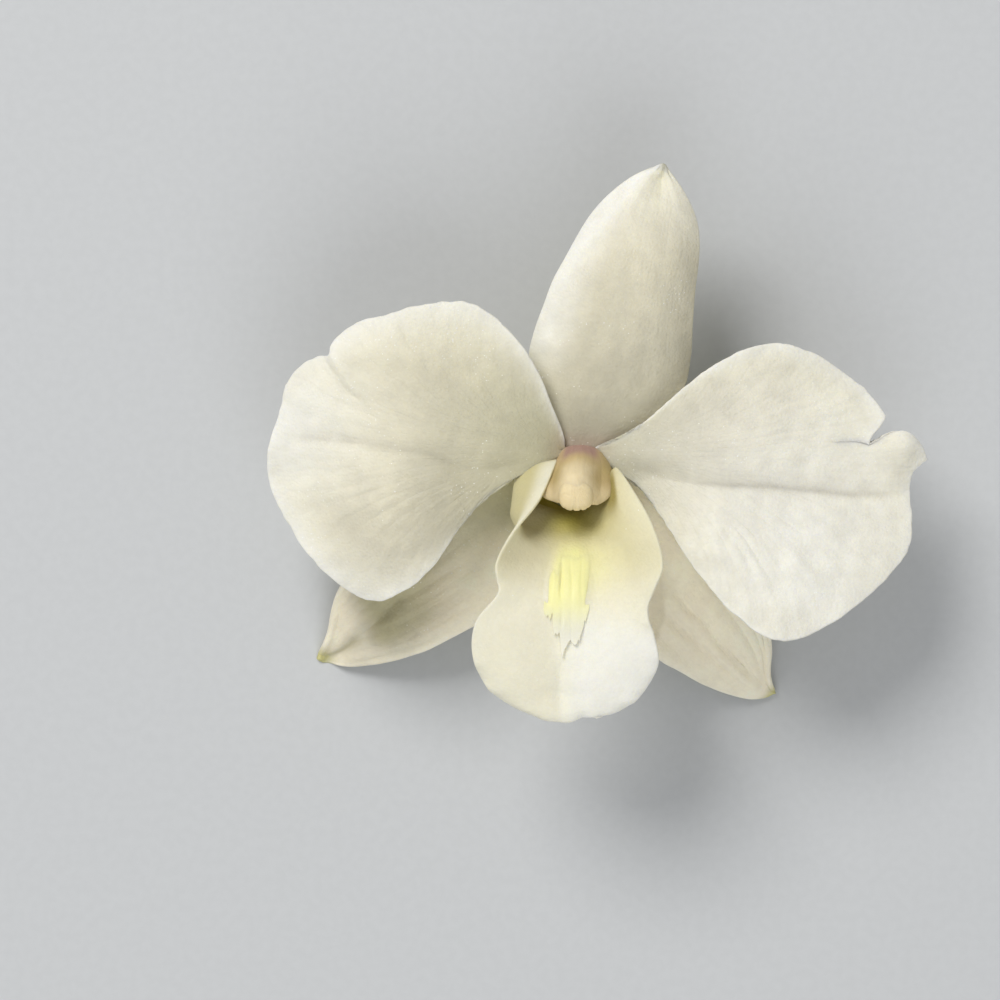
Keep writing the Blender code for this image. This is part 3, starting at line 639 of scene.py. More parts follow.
def flesh(name, base, tones, cell=None, veins=None, veining=0.5, roughness=0.5, depth=0.0008, glow=0.4,
          glints=0.055, pebble=0.3, mottle=0.085, crepe=0.16):
    """Living tissue: tinted, mottled, veined and creped, and pebbled by its cells; a few glinting cells are
    painted near white, a painted highlight, and made glossier.
    """
    sizes = bpy.context.scene.orchid_sizes
    cell, veins = cell or sizes.cell, veins or sizes.veins
    nodes = Nodes(bpy.data.materials.new(name))
    place = nodes.add("TexCoord")["Object"]
    growth = nodes.add("SeparateXYZ", {"Vector": nodes.add("Attribute", attribute_name="growth")["Vector"]})
    tint = nodes.add("Attribute", attribute_name="tint")
    colour = tone(base)
    shares = (*nodes.add("SeparateColor", {"Color": tint["Color"]}), tint["Alpha"])
    for share, other in zip(shares, tones.split()):
        colour = nodes.mix(share, colour, tone(other))
    patches = nodes.noise(place, PATCH, 3.0)
    fine_patches = nodes.noise(place, FINE_PATCH)
    mottled = nodes.plus(patches, nodes.times(fine_patches, 0.5))
    shade = nodes.fit(mottled, 0.5, 1.0, 1 - mottle, 1 + 0.4 * mottle)
    wander = nodes.times(nodes.noise(place, WANDER, 1.0), 0.9)
    line = nodes.maths("PINGPONG", nodes.plus(nodes.times(growth["X"], float(veins)), wander), 0.5)
    vein = nodes.fit(line, 0.0, 0.16, 1.0, 0.0)
    dome, lot = nodes.cells(place, cell)
    grain, chance = nodes.cells(place, cell / 1.7)
    chance = nodes.plus(chance, nodes.fit(patches, 0.35, 0.65, -glints, glints))
    # painted highlight: a few cells, more in some patches, are mixed towards white, and made glossier below
    glint_paint_and_gloss = nodes.times(nodes.fit(chance, 1 - glints * 0.4, 1 + glints * 0.6), nodes.fit(grain, 0.5, 0.1))
    shade = nodes.times(shade, nodes.maths("SUBTRACT", 1.0, nodes.times(vein, 0.03 * veining)))
    shade = nodes.times(shade, nodes.fit(lot, 0.0, 1.0, 0.985, 1.01))
    grey = nodes.add("CombineColor", {"Red": shade, "Green": shade, "Blue": shade})[0]
    colour = nodes.mix(glint_paint_and_gloss, nodes.mix(1.0, colour, grey, "MULTIPLY"), PAINTED_GLINT)
    rough = nodes.fit(fine_patches, 0.3, 0.7, roughness - 0.07, roughness + 0.07)
    pebbled = nodes.bump(nodes.fit(dome, 0.0, 0.8, 1.0, 0.0), pebble, cell * 0.3)
    ridges = nodes.maths("SUBTRACT", nodes.times(fine_patches, 0.8), nodes.times(vein, 0.8 * veining))
    veined = nodes.bump(ridges, 0.35, VEIN_DEPTH, Normal=pebbled)
    strands = nodes.add("CombineXYZ", {
        "X": nodes.times(growth["X"], veins * 4.0), "Y": nodes.times(growth["Y"], 22.0), "Z": growth["Z"],
    })[0]
    nodes.shade(
        Base_Color=colour,
        Roughness=nodes.maths("SUBTRACT", rough, nodes.times(glint_paint_and_gloss, roughness - 0.12)),
        Normal=nodes.bump(nodes.noise(strands, 1.0), crepe, CREPE_DEPTH, Normal=veined),
        Subsurface_Weight=glow,
        Subsurface_Radius=LIGHT_SPREAD,
        Subsurface_Scale=depth,
        Specular_IOR_Level=0.4,
        IOR=1.4,
    )
    return nodes.owner


def finish(name):
    """The finish of this name, made the first time it is asked for."""
    base, tones, settings = FINISHES[name]
    return bpy.data.materials.get(name) or flesh(name, base, tones, **settings)


# ---------------------------------------------------------------- petals


def parted(flat, notch):
    """The plan with its rays kept apart on the two sides of a notch, each to its own side of the slit."""
    flat = flat.copy()
    at = np.hypot(*(flat[-1] - notch).T).argmin()
    for way in (1, -1):
        columns = at - way * np.arange(1, NOTCH_RAYS + 1)
        slit = np.concatenate([flat[:, at], flat[-1, columns]])
        slit = slit[:len(flat) + np.argmax(np.append(np.diff(slit[len(flat):, 0]) <= 0, True)) + 1]
        x, y = flat[:, columns, 0], flat[:, columns, 1]
        clear = way * (y - np.interp(x, slit[:, 0], slit[:, 1]))
        kept = SLIT_EASE * np.logaddexp(0, clear / SLIT_EASE)
        flat[:, columns, 1] = y + way * (kept - clear) * ramp(x, notch[0] - 7, notch[0] - 3)
    return flat


def petal_grid(form):
    """A petal's plan, in rays that leave the claw along the keel and bend out to the rim.

    Gives the points, how far along its ray each is, how far round the rim each ray ends, and how wide
    the rays spread there.
    """
    seed = form["seed"] + 7
    rim = spline(form["rim"], RIM_STEPS)
    calm = calmed(rim, CALMING)
    step = np.gradient(calm, axis=0)
    far = np.cumsum(np.linalg.norm(step, axis=1))
    fan = (far - far[0]) / (far[-1] - far[0])
    outward = unit(np.stack([step[:, 1], -step[:, 0]], axis=1))
    outward *= np.sign((outward * (calm - np.mean(form["claw"], axis=0))).sum())
    nicks = ripples(seed, far, 0.5, (0.09, 1.4, 1), (0.05, 0.6, 1))
    rim = rim + outward * (nicks * ramp(1 - abs(2 * fan - 1), 0.05, 0.2))[:, None]
    claw = evened(spline(form["claw"], 2), len(rim))
    out = calm - claw
    way = np.array([np.sign(rim[len(rim) // 2, 0]), 0.0])
    off = out - (out @ way)[:, None] * way
    bend = np.linalg.norm(off, axis=1, keepdims=True) * way - off
    reach = np.linspace(0, 1, PETAL_ROWS)[:, None, None]
    flat = claw[None] * (1 - reach) + calm[None] * reach + (rim - calm)[None] * reach**8
    flat = flat + 0.65 * bend[None] * reach * (1 - reach)
    if "notch" in form:
        flat = parted(flat, form["notch"])
    rays, gaps = np.gradient(flat, axis=0), np.gradient(flat, axis=1) / np.gradient(fan)[None, :, None]
    spread = np.abs(rays[..., 0] * gaps[..., 1] - rays[..., 1] * gaps[..., 0]) / np.linalg.norm(rays, axis=2)
    return flat, reach[..., 0] * np.ones(len(rim)), fan, spread


def petal_heights(form, x, y, off, reach, fan, spread):
    """How far a petal stands out from the heart: its valley, lobes, wrinkles along the rays and wavy rim."""
    seed = form["seed"]
    out = np.abs(x)
    rise = form["rise"] * (1 - np.exp(-np.hypot(out - 1.6, y) / form["rise_over"]))
    rise *= 1 - form["droop"] * ramp(-y, 0, 3) * (1 - ramp(out, 5, 13))
    fall = form["fall"] * ramp(out, 12, 34)
    valley = form["valley"] * np.exp(-np.hypot(off, 0.25) / form["valley_width"])
    valley = valley * ramp(out, 3, 9) * (1 - 0.5 * ramp(out, 22, 32))
    bow = np.where(off > 0, form["above"], form["below"]) * off**2 * ramp(out, 4, 14)
    wave = 0.45 * reach**3 * np.sin(0.42 * y + 0.23 * out) * ramp(out, 5, 13)
    room = np.clip(spread / 75, 0, 1) ** 1.4
    patches = 0.3 + 0.7 * ramp(ripple(seed + 2, x / 7, y / 7), -0.4, 0.5)
    wrinkles = drawn("wrinkle") * (0.6 + 0.75 * ramp(-off, -2, 4)) * room * patches * ramp(reach, 0.1, 0.4)
    wrinkles = wrinkles * (1 - 0.5 * ramp(reach, 0.85, 1)) * (
        ripple(seed, fan[None] * 54, reach * 4.5) + 0.5 * ripple(seed + 1, fan[None] * 105, reach * 8)
    )
    swells = ripples(seed + 3, x, y, (1, 5.5, 5.5), (0.55, 2.1, 2.1)) * drawn("undulation") * ramp(out, 4, 10)
    frill = 0.30 * ripple(seed + 5, fan[None] * 17, 0.3) + 0.12 * ripple(seed + 6, fan[None] * 45, 0.7)
    return 0.35 + rise - fall - valley + bow + wave + wrinkles + swells + reach**7 * room * frill


def petal(name, form, folds):
    flat, reach, fan, spread = petal_grid(form)
    x, y = flat[..., 0], flat[..., 1]
    keel = spline(form["keel"], KEEL_STEPS)
    off = y - np.interp(np.abs(x), keel[:, 0], keel[:, 1])
    z = petal_heights(form, x, y, off, reach, fan, spread) + folds(flat)
    if "notch" in form:
        window = np.hanning(2 * NOTCH_EASE + 3)[1:-1] / (NOTCH_EASE + 1)
        even = np.array([np.convolve(np.pad(row, NOTCH_EASE, "edge"), window, "valid") for row in z])
        beyond, above = form["notch"]
        z = z + (even - z) * hump(x, beyond - 2.2, 2.6) * hump(y, above + 0.2, 0.8)
    rim = reach**10
    far = np.hypot(x, y)
    # the claw's green; reaching further over the left petal, it is painted shade on that petal's inner half
    # as well
    green = 0.85 * hump(far, 0, form["green"])
    pink = 0.16 * hump(far, 1.8, 1.2) * (y > -5)
    # painted shade: a bank above the keel, spots, and a thin line along the keel
    bank_shade = form["bank_shade"] * ramp(off, -0.5, 0.3) * np.exp(-np.maximum(off, 0) / 1.8)
    painted_shade = sum(share * spot(x, y, middle, width) for middle, width, share in form["painted_shade"])
    painted_shade = painted_shade + (form["crease_shade"] * hump(off, 0.05, 0.45) + bank_shade) * span(np.abs(x), 9, 14, 28, 31.5)
    # painted light: a spot of it, and a painted highlight along the rim on both faces
    tint = weights(green, pink, np.maximum(spot(x, y, *form["painted_light_spot"]), 0.85 * rim), painted_shade * (1 - rim))
    under = weights(1.3 * green, 0.8 * pink, 0.6 * rim)
    sheet(name, np.dstack([flat, z]), drawn("petal_thickness") * (1 - 0.5 * reach**4), tint, under, fan=fan)


def left_petal_folds(flat):
    """The upper lobe of the left petal lies over the outer one from the notch inwards."""
    apart, along = beside(flat, LEFT_PETAL_FOLD)
    fade = 1 - ramp(along, 0.1, 0.75)
    over = ramp(apart, -0.35, 0.35) * np.exp(-np.maximum(apart, 0) / 4.0)
    return fade * (0.7 * over - 0.15 * hump(apart, -0.9, 0.8))


def right_petal_folds(flat):
    """The right petal's small tongue beside its notch stands up and curls back at its end."""
    apart, along = beside(flat, RIGHT_PETAL_FOLD)
    step = ramp(apart, -0.9, 0.9) * np.exp(-np.maximum(apart, 0) / 2.0) * ramp(along, 0.05, 0.75)
    off, way = beside(flat, RIGHT_PETAL_TONGUE)
    tongue = hump(off, 0.2, 1.1) * ramp(way, 0.1, 0.7)
    curl = ramp(flat[..., 0], 30.2, 32.8) * ramp(flat[..., 1], -2.2, -0.4)
    return 0.45 * step + 0.55 * tongue - 1.1 * curl


class ORCHID_OT_petals(bpy.types.Operator):
    """Lay the two broad petals, wrinkled along their veins, with their notches and folds"""

    bl_idname = "orchid.petals"
    bl_label = "Petals"

    def execute(self, context):
        petal("left_petal", LEFT_PETAL, left_petal_folds)
        petal("right_petal", RIGHT_PETAL, right_petal_folds)
        return {"FINISHED"}


# ---------------------------------------------------------------- sepals


class ORCHID_OT_upper_sepal(bpy.types.Operator):
    """Raise the upper sepal behind the petals"""

    bl_idname = "orchid.upper_sepal"
    bl_label = "Upper Sepal"

    def execute(self, context):
        seed = UPPER_SEPAL_SEED
        edges = (UPPER_SEPAL_LEFT, UPPER_SEPAL_RIGHT)
        left, right = (evened(spline(edge, LINE_STEPS), SEPAL_ROWS) for edge in edges)
        across = np.linspace(0, 1, SEPAL_COLUMNS)[None, :, None]
        flat = left[:, None] * (1 - across) + right[:, None] * across
        x, up, across = flat[..., 0], flat[..., 1], across[..., 0]
        side = 2 * across - 1
        lean = -0.20 + 0.25 * ramp(up, 1, 6) + 3.0 * ramp(up, 1, 19) - 2.2 * ramp(up, 16, 28)
        camber = -2.0 * side**2 * span(up, 2, 9, 20, 27)
        channel = -0.4 * hump(side, 0.1, 0.35) * span(up, 18, 24, 25.5, 26.6)
        swells = drawn("undulation") * ripples(seed, x, up, (0.8, 5, 6), (0.55, 1.9, 2.4)) * ramp(up, 4, 9)
        folds = drawn("wrinkle") * 0.3 * ripple(seed + 2, across * 9 + up / 9, up / 4) * ramp(up, 2, 8)
        frill = side**6 * 0.14 * ripple(seed + 3, up / 3, np.sign(side) * 3 + 0.5) * ramp(up, 5, 10)
        middle = np.dstack([flat, lean + camber + channel + swells + folds + frill])
        green = 0.03 + 0.08 * hump(up, 0, 8.5) + 0.22 * hump(side, 0.1, 0.25) * ramp(up, 19, 25)
        tip = 0.35 * ramp(up, 24.5, 26.6)
        # painted shade: at the foot, a little above it, and down the right edge
        shade = 0.50 * hump(up, 0, 7.0) + 0.10 * hump(up, 10.0, 5.0)
        shade = shade + 0.26 * ramp(side, 0.45, 1.0) * span(up, 5, 10, 17, 22)
        # painted light: along the left edge and at the tip
        pale_and_painted_light = 0.9 * ramp(-side, 0.30, 0.9) * ramp(up, 5, 11) + 0.45 * ramp(up, 17, 24)
        tint = weights(green + tip, 0.35 * hump(up, 0.6, 1.0), shade, pale_and_painted_light)
        back_pink = 0.35 * hump(side, 0, 0.12) * ramp(up, 20, 2) + 0.8 * hump(up, 0, 2.0)
        under = weights(0.35 + 0.6 * np.exp(-up / 12), back_pink)
        thick = drawn("sepal_thickness") * (1 - 0.45 * side**4 * np.ones_like(up))
        sheet("dorsal_sepal", middle, thick, tint, under)
        return {"FINISHED"}


def lateral_sepal(name, side, blade, seed, creases):
    """A lateral sepal with its half of the chin, run from the chin's apex to the sepal's tip."""
    half_chin = [[(side * x, y, z) for x, y, z in station] for station in CHIN]
    t = np.linspace(0, 1, LATERAL_COLUMNS)[None, :, None]
    grid = arched(*splines(half_chin + blade, LATERAL_STEPS), t)
    station = (np.arange(len(grid)) / LATERAL_STEPS)[:, None] * np.ones(grid.shape[1])
    along = station / station[-1, 0]
    across = t[..., 0] * np.ones(len(grid))[:, None]
    edge = 2 * across - 1
    x, y = grid[..., 0], grid[..., 1]
    opened = ramp(station, 5.5, 7.5)
    broad = opened * (1 - ramp(station, 8.6, 10.2))
    relief = opened * drawn("undulation") * ripples(seed, x, y, (0.8, 4.5, 4.5), (0.3, 1.8, 1.8))
    relief += broad * drawn("wrinkle") * 0.7 * ripple(seed + 2, across * 13, along * 9)
    relief += broad * edge**6 * 0.15 * ripple(seed + 3, along * 26, np.sign(edge) * 2 + 0.4)
    relief += 0.4 * hump(across, 0.08, 0.12) * span(station, 8.6, 9.8, 10.5, LATERAL_TIP)
    for line, height, width in creases:
        off, way = beside(grid[..., :2], line)
        ends = ramp(way, 0.0, 0.12) * (1 - ramp(way, 0.9, 1.0) * 0.7)
        relief += height * hump(off, 0, width) * opened * ends
    middle = grid + normals_of(grid) * relief[..., None]
    thick = (drawn("sepal_thickness") - 0.2 * ramp(along, 0.35, 0.0)) * (1 - 0.45 * edge**4)
    tip = ramp(station, 10.0, LATERAL_TIP)
    chin = ramp(station, 5.5, 2.0)
    if side < 0:
        green = 0.8
        # the warm cream, and painted light: a patch near the lip, the rolled rims, a band and a streak
        pale_and_painted_light = span(station, 5.0, 6.0, 7.0, 8.4) * ramp(across, 0.3, 0.7)
        pale_and_painted_light = pale_and_painted_light + 0.8 * ramp(np.abs(edge), 0.86, 1.0) * opened
        streak = 0.45 * ramp(station, 8.3, 8.9) * ramp(across, 0.66, 0.8)
        pale_and_painted_light += ramp(station, 8.4, 9.2) * (1 - ramp(across, 0.38, 0.54)) + streak
        # painted shadow under the left petal, and a thin dark line along the crease near the tip
        shade_paint = 0.62 * ramp(station, 6.7, 7.7) * (1 - ramp(across, 0.68, 0.95))
        shade_paint = shade_paint * (1 - ramp(station, 8.4, 9.0)) * ramp(across, 0.02, 0.2)
        shade_paint += 0.45 * hump(across, 0.60, 0.08) * span(station, 8.8, 9.4, 10.1, 10.6)
    else:
        green = 0.45
        # the warm cream over the whole blade, partly painted light
        pale_and_painted_light = ramp(station, 5.0, 6.0)
        # painted shadow of the lip, beside it
        apart, _ = beside(grid[..., :2], RIGHT_SEPAL_LIP_SHADOW)
        shade_paint = 0.45 * ramp(-apart, -0.15, 0.4) * ramp(station, 6.0, 7.0)
    shade_paint, pale_and_painted_light = shade_paint * (1 - tip), pale_and_painted_light * (1 - tip)
    # the painted shadow is laid as the pink and chin tones together, a neutral dark
    tint = weights(green * hump(np.hypot(x, y), 0, 11) + 0.95 * tip, 0.5 * shade_paint, 0.8 * shade_paint, pale_and_painted_light * (1 - shade_paint))
    under_green = 0.5 + 0.35 * ramp(station, 9.0, 5.0) + 0.5 * tip
    under_pink = 0.30 * hump(across, 0.5, 0.09) * ramp(station, 10, 7) * (1 - chin)
    under_pink = under_pink + 0.9 * ramp(station, 2.4, 0.8) + 0.6 * spot(x, y, (0.0, -0.6), 2.6)
    under = weights(under_green, under_pink, 0.8 * chin)
    sheet(name, middle, thick, tint, under)


class ORCHID_OT_lateral_sepals(bpy.types.Operator):
    """Lay the two lateral sepals, with the chin that they close behind the lip"""

    bl_idname = "orchid.lateral_sepals"
    bl_label = "Lateral Sepals"

    def execute(self, context):
        lateral_sepal("left_lateral_sepal", -1, LEFT_BLADE, LEFT_LATERAL_SEED, LEFT_CREASES)
        lateral_sepal("right_lateral_sepal", 1, RIGHT_BLADE, RIGHT_LATERAL_SEED, RIGHT_CREASES)
        return {"FINISHED"}


# ---------------------------------------------------------------- lip


def lip_section(middle, left, right, bulges, shares):
    """Points across the lip at each station: two curves that leave its middle level and end at its rims."""
    t = shares[None, :, None]
    halves = []
    for rim, way, bulge in ((left, -1.0, bulges[:, :1]), (right, 1.0, bulges[:, 1:])):
        width = np.abs(rim[:, :1] - middle[:, :1])
        outwards = np.array([way, 0.0, 0.0])
        near = middle + outwards * (0.55 * width + 0.5 * bulge)
        far = rim + outwards * bulge + (middle - rim) * 0.25 - np.array([0.0, 0.0, 0.42]) * bulge
        half = middle[:, None] * (1 - t) ** 3 + near[:, None] * 3 * t * (1 - t) ** 2
        halves.append(half + far[:, None] * 3 * t**2 * (1 - t) + rim[:, None] * t**3)
    return np.concatenate([halves[0][:, ::-1], halves[1][:, 1:]], axis=1)


def crest_line(y):
    """The crest's left side, right side and height at these places along it."""
    line = spline(CREST, KEEL_STEPS)[::-1]
    return (np.interp(y, line[:, 0], line[:, k]) for k in (1, 2, 3))


def crest_height(x, y):
    """The crest's height over the lip's floor: a soft cushion with lengthwise furrows."""
    left, right, tall = crest_line(y)
    height = tall * ramp(x, left - 0.35, left + 0.75) * (1 - ramp(x, right - 1.4, right + 0.8))
    for at, share, half in CREST_FURROWS:
        wander = 0.2 * ripple(LIP_SEED + 4, y / 3, at)
        height = height * (1 - share * hump(x, at + wander, half) * ramp(tall, 0.25, 0.6))
    return np.where((y < CREST[0][0]) & (y > CREST[-1][0]), height, 0)


def crest_glow(x, y):
    """How yellow the crest and the lip round it are."""
    glow = hump(x, -0.4, np.where(x < -0.4, 2.0, 3.4)) * hump(y, -10.8, 2.7) * ramp(-y, 7.6, 10.0)
    return 0.7 * ramp(crest_height(x, y), 0.05, 0.6) + 0.7 * glow


class ORCHID_OT_lip(bpy.types.Operator):
    """Shape the lip: side lobes up beside the column, a broad front lobe, and a crest with a frayed end"""

    bl_idname = "orchid.lip"
    bl_label = "Lip"

    def execute(self, context):
        bulges = spline([station[3] for station in LIP], LIP_STEPS)
        shares = np.linspace(0, 1, LIP_COLUMNS) ** 1.2
        grid = lip_section(*splines(LIP, LIP_STEPS), bulges, shares)
        station = (np.arange(len(grid)) / LIP_STEPS)[:, None] * np.ones(grid.shape[1])
        across = np.concatenate([-shares[::-1], shares[1:]])[None] * np.ones(len(grid))[:, None]
        x, y, edge = grid[..., 0], grid[..., 1], np.abs(across)
        front = ramp(station, 8.0, 9.5)
        opened = ramp(station, LIP_CLAW_END, LIP_CLAW_END + 0.8)
        middle = self.blade(grid, station, across, front, opened)
        crest = crest_height(x, y) * opened
        streak = 1 + 0.06 * ripple(LIP_SEED + 3, x / 0.5, y / 3)
        yellow = crest_glow(x, y) * opened * (1 - 0.7 * ramp(-y, 13.0, 16.0))
        # the pit under the left wing, which the lamps already shade: the painted shade is lifted there and
        # the throat's colour laid thicker
        pit = hump(x, -4.6, 1.5) * hump(y, -7.5, 1.3)
        # painted light: the throat's colour thins towards the rims and on the left, where the lamps leave the
        # lip in shade
        aside = (1 - 0.35 * ramp(across, 0.5, 0.95)) * (1 - 0.5 * ramp(-x, 2.0, 4.0))
        # the throat's colour laid fully under the column and in the claw: partly its own colour, partly
        # painted shade
        deep_throat_and_shade = hump(x, -0.7, 3.2) * ramp(-y, 10.0, 6.8) + (station < 4)
        throat = 0.38 * ramp(-y, 15.0, 9.5) * aside + 0.62 * deep_throat_and_shade
        # painted shade: the hollow's dark in the strip right of the right wing and under both wings, down to
        # the throat's floor
        soft = 0.25 + 0.8 * ramp(-y, 4.0, 6.5)
        sides = np.maximum(ramp(x, 0.6, 2.2), ramp(-x, 1.6, 2.8) * ramp(y, -6.0, -5.0))
        hollow = 0.95 * (1 - ramp(x - 3.3 - 0.16 * (-y - 2), -soft, 0.25 * soft)) * ramp(y, -7.2, -4.4)
        hollow = hollow * (0.2 + 0.8 * sides)
        # painted shade on the left side lobe and just below the anther
        shade_paint = 0.20 * ramp(-x, 2.0, 4.5) * hump(y, -9.8, 1.8) + 0.18 * hump(x, -0.6, 2.4) * hump(y, -7.3, 1.1)
        tint = weights(
            throat * (1 + 0.5 * pit),
            yellow * (1 - 0.6 * ramp(-y, 9.0, 7.5)),
            # the front lobe's white, mostly on its right half; the left half keeps the lip's duller colour as
            # painted shade
            front * (1 - yellow) * (0.05 + 0.95 * ramp(x, -3.5, 0.4)),
            (hollow + shade_paint) * opened * (1 - 0.8 * pit),
        )
        # underneath: the lip's green back, partly painted shade on the left lobe's outer wall below its
        # rolled rim, which is left pale; and a little painted shade near the claw
        wall = ramp(edge, 0.88, 0.98) * opened
        under_green = 0.5 * ramp(-y, 15.5, 6.0) * (1 - 0.85 * wall)
        under = weights(under_green, 0.0, 0.3 * front, 0.18 * (1 - wall) * ramp(-y, 10.0, 6.0))
        thick = drawn("lip_thickness") * (1 - 0.45 * edge**4)
        sheet("lip", middle, thick, tint, under, relief=crest * streak)
        self.fringe(middle)
        return {"FINISHED"}

    def blade(self, grid, station, across, front, opened):
        """The lip's surface with its swells, wavy rim, middle groove and rolled end."""
        x, y, edge = grid[..., 0], grid[..., 1], np.abs(across)
        swells = ripples(LIP_SEED, x, y, (0.55, 4, 4), (0.18, 1.6, 1.6))
        swells = drawn("undulation") * (0.35 + 0.65 * front) * opened * swells
        frill = ripple(LIP_SEED + 2, station * 2.4, np.sign(across) * 4 + 0.5)
        frill = 0.26 * edge**6 * frill * ramp(station, 6, 8)
        groove = -0.22 * hump(x, -1.95, 0.6) * ramp(-y, 18.5, 21) * (1 - 0.6 * ramp(-y, 23.0, 25.0))
        groove -= 0.50 * hump(x, -1.9, 3.4) * span(-y, 14.5, 18.5, 22.5, 25.0)
        roll = -0.35 * edge**8 * span(station, 9, 10.5, 12, 13)
        middle = grid + normals_of(grid) * (swells + frill + groove + roll)[..., None]
        middle[..., 1] += 0.36 * hump(x, 0.2, 0.75) * ramp(station, 11.5, 13.0)
        return middle

    def fringe(self, lip):
        """The crest's upper skin, that runs on past the cushion and frays into teeth clear of the lip."""
        half_lip = drawn("lip_thickness") / 2
        ends = np.array(FRINGE)
        across = np.linspace(0, 1, FRINGE_COLUMNS)
        down = np.linspace(0, 1, FRINGE_ROWS)[:, None]
        rim_y = np.interp(ends[0, 0] + (ends[-1, 0] - ends[0, 0]) * across, ends[:, 0], ends[:, 1])
        y = FRINGE_TOP + (FRINGE_SPLIT - FRINGE_TOP) * np.minimum(down / FRINGE_SKIN, 1)
        y = y + (rim_y - FRINGE_SPLIT) * np.maximum(down - FRINGE_SKIN, 0) / (1 - FRINGE_SKIN)
        left, right, _ = crest_line(y)
        free = ramp(-y, 12.5, 15.0)
        left = (left - 0.1) * (1 - free) + ends[0, 0] * free
        right = (right + 0.25) * (1 - free) + ends[-1, 0] * free
        wander = 0.09 * ripple(LIP_SEED + 6, across[None] * 9, y / 2.5) * ramp(-y, 14.0, 16.5)
        x = left + (right - left) * across + wander
        floor = self.floor_under(lip, x, y)
        slope = -np.gradient(floor, axis=0) / np.gradient(y, axis=0)
        upright = np.hypot(1, slope)
        inside = ramp(across, 0.0, 0.14) * ramp(1 - across, 0.0, 0.14)
        cushion = upright * (crest_height(x, y - 0.45 * slope / upright) + half_lip)
        cushion = cushion - 0.12 + 0.15 * ramp(-y, 8.8, 10.8) * np.maximum(inside, ramp(-y, 14.0, 15.0))
        cushion = cushion - 0.25 * ramp(-x, 1.75, 2.2) * ramp(y, -12.5, -10.0)
        furrow = 0.12 * hump(x, -1.78, 0.16) * (1 - ramp(-y, 15.8, 17.0)) + 0.04 * hump(x, -0.9, 0.14)
        flap = half_lip - 0.08 + 0.28 * ramp(-y, 13.6, 15.0) + 0.16 * ramp(-y, 15.5, 18.5) - furrow
        top = np.log(np.exp(16 * cushion) + np.exp(16 * flap)) / 16
        top = top + 0.03 * ripple(LIP_SEED + 5, x / 0.55, y / 2.8) * ramp(-y, 10.5, 13.5)
        thick = 0.16 + 0.34 * ramp(y, -16.5, -13.0)
        fore = ramp(-y, 11.0, 13.5)
        yellow = crest_glow(x, y) * (1 - fore) + (0.38 + 0.57 * (1 - ramp(-y, 12.5, 19.0))) * fore
        yellow = np.minimum(yellow + 0.3 * hump(x, -2.4, 0.6) * ramp(y, -16.5, -14.0), 1)
        tint = weights(0.38 * ramp(-y, 15.0, 9.5), yellow, 0.75 * ramp(-y, 13.5, 18.5))
        upward = np.dstack([0 * y, slope, 1 + 0 * y]) / upright[..., None]
        middle = np.dstack([x, y, floor + top - thick * upright / 2])
        sheet("crest_fringe", middle, thick, tint, 0.8 * tint, normals=upward)

    def floor_under(self, lip, x, y):
        """How high the lip's surface lies under these points, averaged from its own points near them."""
        near = lip[(abs(lip[..., 1] + 14) < 7) & (abs(lip[..., 0] + 1.3) < 4) & (lip[..., 2] > 1.5)]
        gap = (x[..., None] - near[:, 0]) ** 2 + (y[..., None] - near[:, 1]) ** 2
        pull = np.exp(-gap / 0.12)
        return (pull * near[:, 2]).sum(-1) / pull.sum(-1)


# ---------------------------------------------------------------- column


